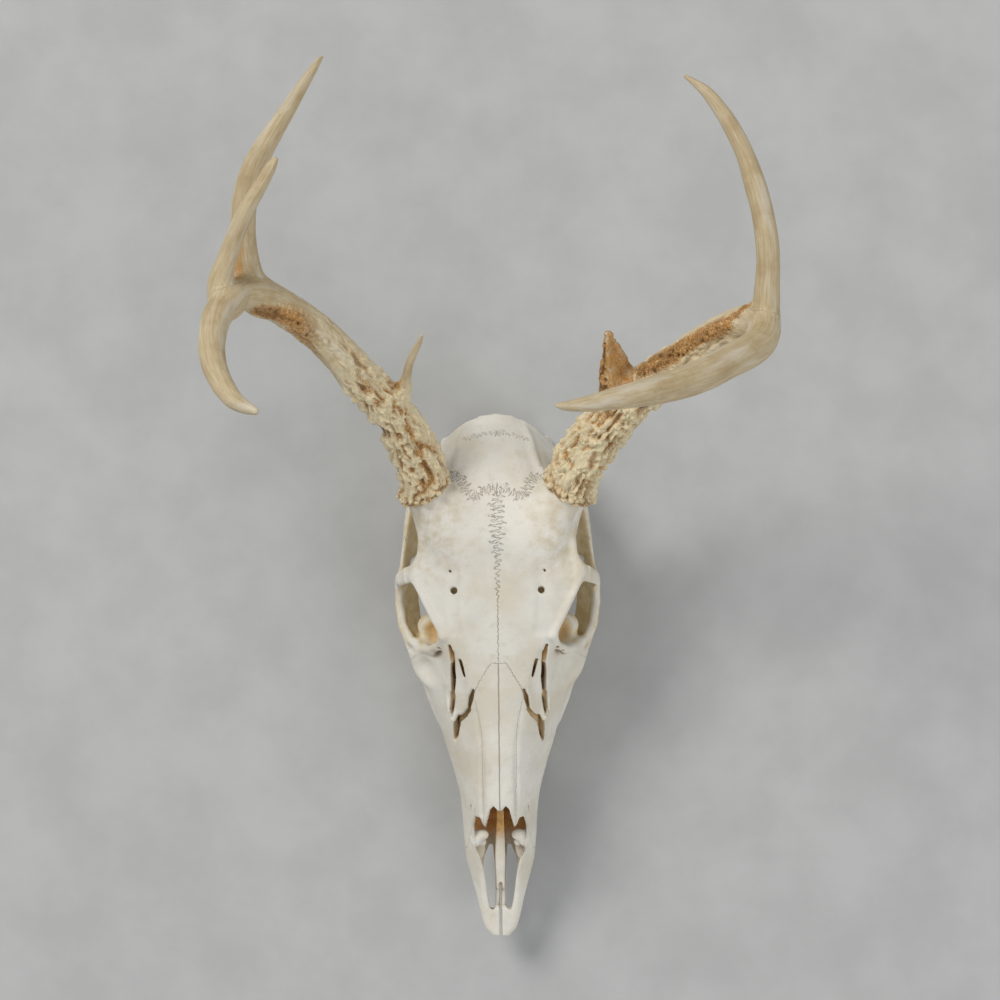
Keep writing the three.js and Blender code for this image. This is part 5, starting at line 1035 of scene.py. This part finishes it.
def frames(P):
    """Turning-free axes across a line through the points."""
    T = np.gradient(P, axis=0)
    T /= np.linalg.norm(T, axis=1)[:, None]
    u = unit(np.cross(T[0], (0.1, 0.2, 1.0)))
    U = []
    for t in T:
        u = unit(u - t * (t @ u))
        U.append(u)
    U = np.array(U)
    return U, np.cross(T, U)


def along_branch(v, rows):
    """For each point: distance along the line, place across it, and distance from its surface."""
    P = spline(rows, 4)
    U, W = frames(P[:, :3])
    best = np.full(len(v), 1e9)
    out = np.zeros((len(v), 3))
    run = 0.0
    for i in range(len(P) - 1):
        A, e = P[i, :3], P[i + 1, :3] - P[i, :3]
        l = np.linalg.norm(e)
        r = v - A
        t = np.clip((r @ e) / (l * l), 0, 1)
        d = np.linalg.norm(r - t[:, None] * e, axis=1) - (P[i, 3] + (P[i + 1, 3] - P[i, 3]) * t)
        k = d < best
        if k.any():
            q, tk = r[k] - t[k][:, None] * e, t[k][:, None]
            u = (U[i] * (1 - tk) + U[i + 1] * tk)
            w = (W[i] * (1 - tk) + W[i + 1] * tk)
            out[k] = np.stack([run + l * t[k], (q * u).sum(1), (q * w).sum(1)], 1)
            best[k] = d[k]
        run += l
    return out.astype(F), best.astype(F), run


def pearls(c, rough, seed, burr):
    """Height of the pearled crust, and how brown and how dark it is, at places c on a branch."""
    warp = np.stack([value_noise(c * 0.30 + 9 * k, seed + 40 + k) for k in range(3)], 1) - 0.5
    w = c + warp * np.array([3.8, 2.2, 2.2], F)
    f1, f2, own = cells_noise(w * np.array([0.16, 0.36, 0.36], F), seed)
    knob = np.clip(1 - f1 / 0.62, 0, 1) ** 0.8 * (0.1 + 0.9 * own)
    g1, g2, own2 = cells_noise(w * np.array([0.36, 0.66, 0.66], F) + 31, seed + 7)
    small = np.clip(1 - g1 / 0.62, 0, 1) * (0.2 + 0.8 * own2)
    long = fractal(w * np.array([0.085, 0.30, 0.30], F), 2, seed + 51)
    crest = (1 - np.abs(2 * long - 1)) ** 1.6
    where = step(value_noise(c * np.array([0.030, 0.15, 0.15], F) + 5, seed + 20) * 0.65 + value_noise(c * np.array([0.09, 0.3, 0.3], F), seed + 21) * 0.35, 0.34, 0.54)
    strip = 1 - np.abs(2 * fractal(c * np.array([0.035, 0.26, 0.26], F), 2, seed + 30) - 1)
    patch = np.maximum(0.12 + 0.88 * where, burr)
    crust = fractal(c * np.array([0.5, 1.1, 1.1], F), 2, seed + 50) - 0.5
    raised = 1.35 * knob + 0.8 * small + 2.3 * crest + 0.7 * crust
    p3, p14, p45, p50, p96 = np.percentile(raised, [3, 14, 45, 50, 96])
    relief = np.clip((raised - p50) / (p96 - p50), -0.9, 1.25)
    height = rough * patch * (1.9 * relief + 0.15) + rough * (1 - patch) * (1.3 * strip - 0.45)
    stained = 0.55 + 0.45 * step(value_noise(c * np.array([0.05, 0.12, 0.12], F) + 8, seed + 61), 0.3, 0.6)
    brown = rough * (0.25 + 0.75 * patch) * (0.95 * step(raised, p50 + 0.12, p14 + 0.05) * stained + 0.09)
    dark = rough * (0.3 + 0.7 * patch) * step(raised, p14 + 0.05, p3) * 0.75
    return height, brown, dark, strip


# Broad stains along the beams and tines, one of them partly painted shade: middle line and reach (x, s, z, r), how
# strong, how crusty
STAINS_AND_SHADE = {
    "left": [
        ([[71.3, 294.3, 160, 8], [80.1, 298.3, 168, 8.5], [86.6, 301.3, 174, 8], [97, 307.8, 186, 7], [109.1, 312.3, 198, 6.5], [116.6, 316.5, 206, 5.5], [121.3, 322.2, 212, 4.5]], 1.0, 1.3),
    ],
    "right": [
        ([[-111.7, 323.2, 203, 7], [-99.5, 320.8, 194, 8], [-93.1, 316.1, 184, 9], [-87.1, 310.8, 174, 9], [-81.3, 305.8, 166, 9], [-76.9, 299.8, 158, 8.5], [-71.5, 294.2, 150, 8.5], [-65, 288, 144, 8], [-57.3, 283.2, 138, 8], [-50.6, 279.4, 132, 8]], 1.0, 1.0),
        ([[-116.6, 321.3, 196, 6], [-111.2, 319.1, 192, 6.5], [-105, 315.6, 186, 5]], 0.9, 0.4),
        # partly brown stain, partly painted shade on the short tine's shadowed right side
        ([[-124, 335.4, 212, 4.5], [-118.8, 346.8, 222, 4.5], [-114.3, 356.9, 229, 4.5], [-109, 367.3, 236, 4], [-103.8, 375.4, 242, 3.5]], 0.55, 0.0),
        ([[-99.1, 396.2, 234, 4], [-92.5, 406.3, 241, 4], [-85.4, 417, 250, 3.5], [-79.2, 426.6, 259, 3]], 0.6, 0.0),
    ],
}
# The crotch of the right antler's fork: cut in a little and darkened as painted shade.
PIT = [[-124.5, 335.4, 209, 2.6], [-123.5, 338, 209, 1.6]]
BEAD = [-81.6, 307.7, 177]


def near_line(v, rows):
    """1 on the line through the rows, falling to 0 at its reach."""
    P = spline(rows, 3)
    out = np.zeros(len(v), F)
    for a, b in zip(P[:-1], P[1:]):
        e = b[:3] - a[:3]
        r = v - a[:3].astype(F)
        k = np.clip((r @ e) / (e @ e), 0, 1)
        d = np.linalg.norm(r - k[:, None] * e, axis=1) / (a[3] + (b[3] - a[3]) * k)
        out = np.maximum(out, np.clip(1 - d, 0, 1))
    return out


def antler(side):
    sign = 1 if side == "left" else -1
    seed = 11 if side == "left" else 83
    rows = dict(ANTLERS[side])
    if side == "left":
        rows["brow_tine"] = [p[:4] for p in LEFT_BROW]
    points = np.array([p[:3] for r in rows.values() for p in r])
    f = antler_field(side)
    v, q = mesh_field(f, points.min(0) - 17, points.max(0) + 17, ANTLER_GRID)
    keep = largest_part(v, q)
    q = q[keep[q].all(1)]
    n = gradient(f, v, 0.5)
    v = v - n * np.clip(evaluate(f, v), -0.25, 0.25)[:, None]
    B, A = BURR * [sign, 1, 1], AXIS * [sign, 1, 1]
    seat = ((v - B) @ A).astype(F)
    total = np.zeros(len(v), F)
    height, brown, dark = np.zeros(len(v), F), np.zeros(len(v), F), np.zeros(len(v), F)
    level = np.zeros(len(v), F)
    grain = np.zeros((len(v), 3), F)
    nearest = np.full(len(v), 1e9, F)
    which = np.zeros(len(v), int)
    for b, (name, r) in enumerate(rows.items()):
        c, d, length = along_branch(v, r)
        wide = 6.5 if (side == "left" and name == "brow_tine") else 2.5
        weight = np.clip(1 - d / wide, 0, 1) ** 2 + 1e-4 * (d < 30)
        rough = rough_along(side, name, c[:, 0]).astype(F)
        ring = np.exp(-(np.maximum(seat - 1, 0) / 6) ** 2).astype(F) if name == "beam" else np.zeros(len(v), F)
        rough = np.maximum(rough, ring)
        m = (weight > 1e-3) & (rough > 0.02)
        h, br, dk = np.zeros(len(v), F), np.zeros(len(v), F), np.zeros(len(v), F)
        if m.any():
            cm = c[m] + np.array([0, 40 * b, 0], F)
            h[m], br[m], dk[m], strip = pearls(cm, rough[m], seed + 3 * b, ring[m])
        soft = 0.22 * (fractal(c * np.array([0.03, 0.22, 0.22], F), 3, seed + 70) - 0.5) * 2
        h = h + soft * step(length - c[:, 0], 4, 25)
        height += weight * h
        brown += weight * br
        dark += weight * dk
        level += weight * rough
        total += weight
        k = d < nearest
        nearest[k], grain[k], which[k] = d[k], c[k], b
    total = np.maximum(total, 1e-6)
    height, brown, dark, level = height / total, brown / total, dark / total, level / total
    # stay clear of the seat, and away from the burr let the relief sink no more than a millimetre
    height *= step(seat, 0.0, 1.2) if True else 1
    far = np.linalg.norm(v - B, axis=1) > 30
    height = np.where(far, np.maximum(height, -1.0), height)
    # burr: a close ring of beads
    q1, q2, q3 = cells_noise(((v - B) * 0.29).astype(F), seed + 90)
    bead = np.clip(1 - q1 / 0.64, 0, 1) ** 0.75 * (0.3 + 0.7 * q3)
    tiny = np.clip(1 - cells_noise(((v - B) * 0.62).astype(F), seed + 91)[0] / 0.64, 0, 1)
    collar = np.exp(-((seat - 3.0) / 3.4) ** 2) * (seat < 14)
    height = height * (1 - collar) + collar * (3.6 * bead + 0.9 * tiny - 1.0) * step(seat, -0.6, 1.2)
    brown = brown * (1 - collar) + collar * np.maximum(0.7 * step(bead + 0.3 * tiny, 0.45, 0.10), 0.12)
    dark = dark * (1 - collar) + collar * 0.6 * step(bead + 0.2 * tiny, 0.16, 0.0)
    level = np.maximum(level, collar)
    # stains, and on the short tine partly painted shade
    up = step(n[:, 2], -0.15, 0.35)
    for rows_, strength, crusty in STAINS_AND_SHADE[side]:
        m = near_line(v, rows_)
        blotch = fractal(grain * np.array([0.07, 0.30, 0.30], F), 3, seed + 33) + 0.45 * (fractal(grain * np.array([0.25, 0.9, 0.9], F), 2, seed + 34) - 0.5)
        m = step(m, 0.0, 0.7) * up
        ease = 0.12 if side == "right" and crusty > 0.9 else 0.0
        k = m * step(blotch + 0.45 * (m - 0.5), 0.35 - ease, 0.60 - ease)
        brown = np.maximum(brown, strength * k)
        crust = fractal(v * F(0.45), 3, seed + 35)
        lip = (1 - np.abs(2 * crust - 1)) ** 1.5
        height += crusty * m * (2.1 * lip - 1.1)
        dark = np.maximum(dark, np.clip((0.42 + 0.9 * ease) * strength * k * step(blotch, 0.38, 0.60) * (crusty > 0) + 0.7 * crusty * m * step(lip, 0.55, 0.2) * step(blotch, 0.34, 0.5), 0, 0.9))
        level = np.maximum(level, 0.5 * crusty * m)
    if side == "right":
        # painted shade: the fork's crotch is darkened and sunk
        pit = near_line(v, PIT)
        dark = np.maximum(dark, step(pit, 0.1, 0.45))
        height -= 1.4 * step(pit, 0.1, 0.6)
        ring = np.linalg.norm((v - np.array(BEAD, F))[:, :2], axis=1) + 9 * (n[:, 2] < 0)
        height += 0.9 * np.exp(-((ring - 0.0) / 1.1) ** 2) - 0.5 * np.exp(-((ring - 2.0) / 0.6) ** 2)
        dark = np.maximum(dark, 0.35 * np.exp(-((ring - 2.0) / 0.6) ** 2) * step(fractal(v * F(0.5), 2, 4), 0.35, 0.6))
    # painted shade: away from the burr, hollows such as the forks turn brown and tight creases dark, by how closed in
    # they are
    occ = 1 - np.clip(evaluate(f, v + n * F(6.0)) / 6.0, 0, 1)
    tight = 1 - np.clip(evaluate(f, v + n * F(2.5)) / 2.5, 0, 1)
    ok = far
    brown = np.maximum(brown, ok * step(occ, 0.3, 0.65) * 0.7)
    dark = np.maximum(dark, ok * step(tight, 0.4, 0.8) * 0.6)
    if side == "left":
        # the broken brow tine is hollow and brown between its edges
        c, d, _ = along_branch(v, rows["brow_tine"])
        U = unit(LEFT_BROW_SIDE)
        T = unit(np.array(LEFT_BROW[-1][:3]) - np.array(LEFT_BROW[0][:3]))
        P = np.array([p[:3] for p in LEFT_BROW])
        rel = v - P[0]
        t = np.clip(rel @ T, 0, None)
        side_u = (rel - (rel @ T)[:, None] * T) @ unit(U - T * (U @ T))
        half = np.interp(t, [0, 12.6, 26, 36.6, 44], [10.5, 9.4, 7.0, 4.3, 1.7])
        face = step(n[:, 2], 0.15, 0.5) * step(rel @ T, 4, 10) * (d < 7)
        hollow = face * np.exp(-((side_u / half - 0.28) / 0.42) ** 2)
        ridge = face * np.exp(-((side_u / half + 0.42) / 0.13) ** 2)
        ragged = fractal(v * F(0.35), 3, seed + 95) - 0.5
        height += ((-2.4 * hollow + 1.2 * ridge) * step(t, 44, 34) + 2.2 * ragged * step(rel @ T, 6, 14) * (d < 6)).astype(F)
        brown = np.maximum(brown, np.maximum(hollow * 0.95, 0.85 * face * step(ragged, -0.22, 0.05)))
        torn = step(side_u / half, -0.55, -0.8) * step(rel @ T, 2, 9) * (d < 7.5)
        brown = np.maximum(brown, 0.9 * torn)
        dark = np.maximum(dark, 0.75 * torn * step(ragged, -0.12, 0.08))
        height -= (1.6 * torn * step(ragged, -0.1, 0.1)).astype(F)
        rim = (1 - face) * step(rel @ T, 6, 12) * (d < 6) * step(np.abs(n[:, 2]), 0.5, 0.1)
        dark = np.maximum(dark, 0.75 * rim * step(fractal(v * F(0.25), 3, 5), 0.35, 0.6))
    v = v + n * height[:, None].astype(F)
    normals = mesh_normals(v, q)
    if (normals * n).sum(1).mean() < 0:
        q, normals = q[:, ::-1], -normals
    seatmost = seat < 0.35
    v[seatmost] += (np.maximum(SEAT_GAP - ((v[seatmost] - B) @ A), 0)[:, None] * A).astype(F)
    look = np.clip(np.stack([brown, dark, level], 1), 0, 1)
    # parted at the forks as the CAD nodes are
    names = list(rows)
    fw = which[q[:, 0]]
    length = grain[q[:, 0], 0]
    end = 12 if side == "right" else 11
    P = spline(rows["beam"], 4)
    cut = np.linalg.norm(np.diff(P[:, :3], axis=0), axis=1)[:end * 4].sum()
    for b, name in enumerate(names):
        if name == "beam":
            parts = [("beam", (fw == b) & (length < cut)), ("beam_end", (fw == b) & (length >= cut))]
        else:
            parts = [(name, fw == b)]
        for part, m in parts:
            add_piece("antler_%s_%s_horn" % (side, part), "antler_%s_%s" % (side, part), ANTLER, v, normals, q[m], {"look": look, "grain": grain})


antler("left")
antler("right")

# ------------------------------------------------------------------ floor, light, camera
g = Graph("floor_pale")
fp = g.vec("SCALE", g.node("ShaderNodeTexCoord").outputs["Object"], 1000.0)
floor_noise = g.noise(fp, 0.02, 4.0, 0.6)
floor_mat = g.finish(g.mix(g.ramp(floor_noise, 0.3, 0.7), lin("#b4b4b2"), lin("#bdbdbb")), g.ramp(floor_noise, 0.3, 0.7, 0.85, 0.95), None, 0.2)
me = bpy.data.meshes.new("floor")
me.from_pydata([(-4, -4, 0), (4, -4, 0), (4, 4, 0), (-4, 4, 0)], [], [(0, 1, 2, 3)])
me.materials.append(floor_mat)
floor = bpy.data.objects.new("floor", me)
bpy.context.scene.collection.objects.link(floor)


def area_light(name, where, aim, size, power, color):
    d = bpy.data.lights.new(name, "AREA")
    d.shape, d.size, d.energy, d.color = "SQUARE", size, power, color
    o = bpy.data.objects.new(name, d)
    o.location = where
    from mathutils import Vector
    o.rotation_euler = (Vector(aim) - Vector(where)).to_track_quat("-Z", "Y").to_euler()
    bpy.context.scene.collection.objects.link(o)


area_light("key", (-1.5, 1.6, 2.4), (0, 0, 0.08), 1.1, 56, (1.0, 0.985, 0.96))
area_light("fill", (1.8, -1.4, 1.8), (0, 0, 0.08), 2.2, 26, (0.97, 0.985, 1.0))
world = bpy.data.worlds.new("studio")
world.use_nodes = True
world.node_tree.nodes["Background"].inputs[0].default_value = (0.93, 0.96, 1.0, 1.0)
world.node_tree.nodes["Background"].inputs[1].default_value = 0.42
bpy.context.scene.world = world
bpy.context.scene.view_settings.view_transform = "Standard"

cam = bpy.data.cameras.new("camera")
cam.sensor_width = 36.0
cam.lens = 2946.0 / 1000.0 * 36.0
cam.clip_end = 20.0
ob = bpy.data.objects.new("camera", cam)
ob.location = ((1.7 + SHIFT_X) / 1000, SHIFT_Y / 1000, 1.6)
ob.rotation_euler = (0, 0, math.radians(-0.57))
bpy.context.scene.collection.objects.link(ob)
bpy.context.scene.camera = ob
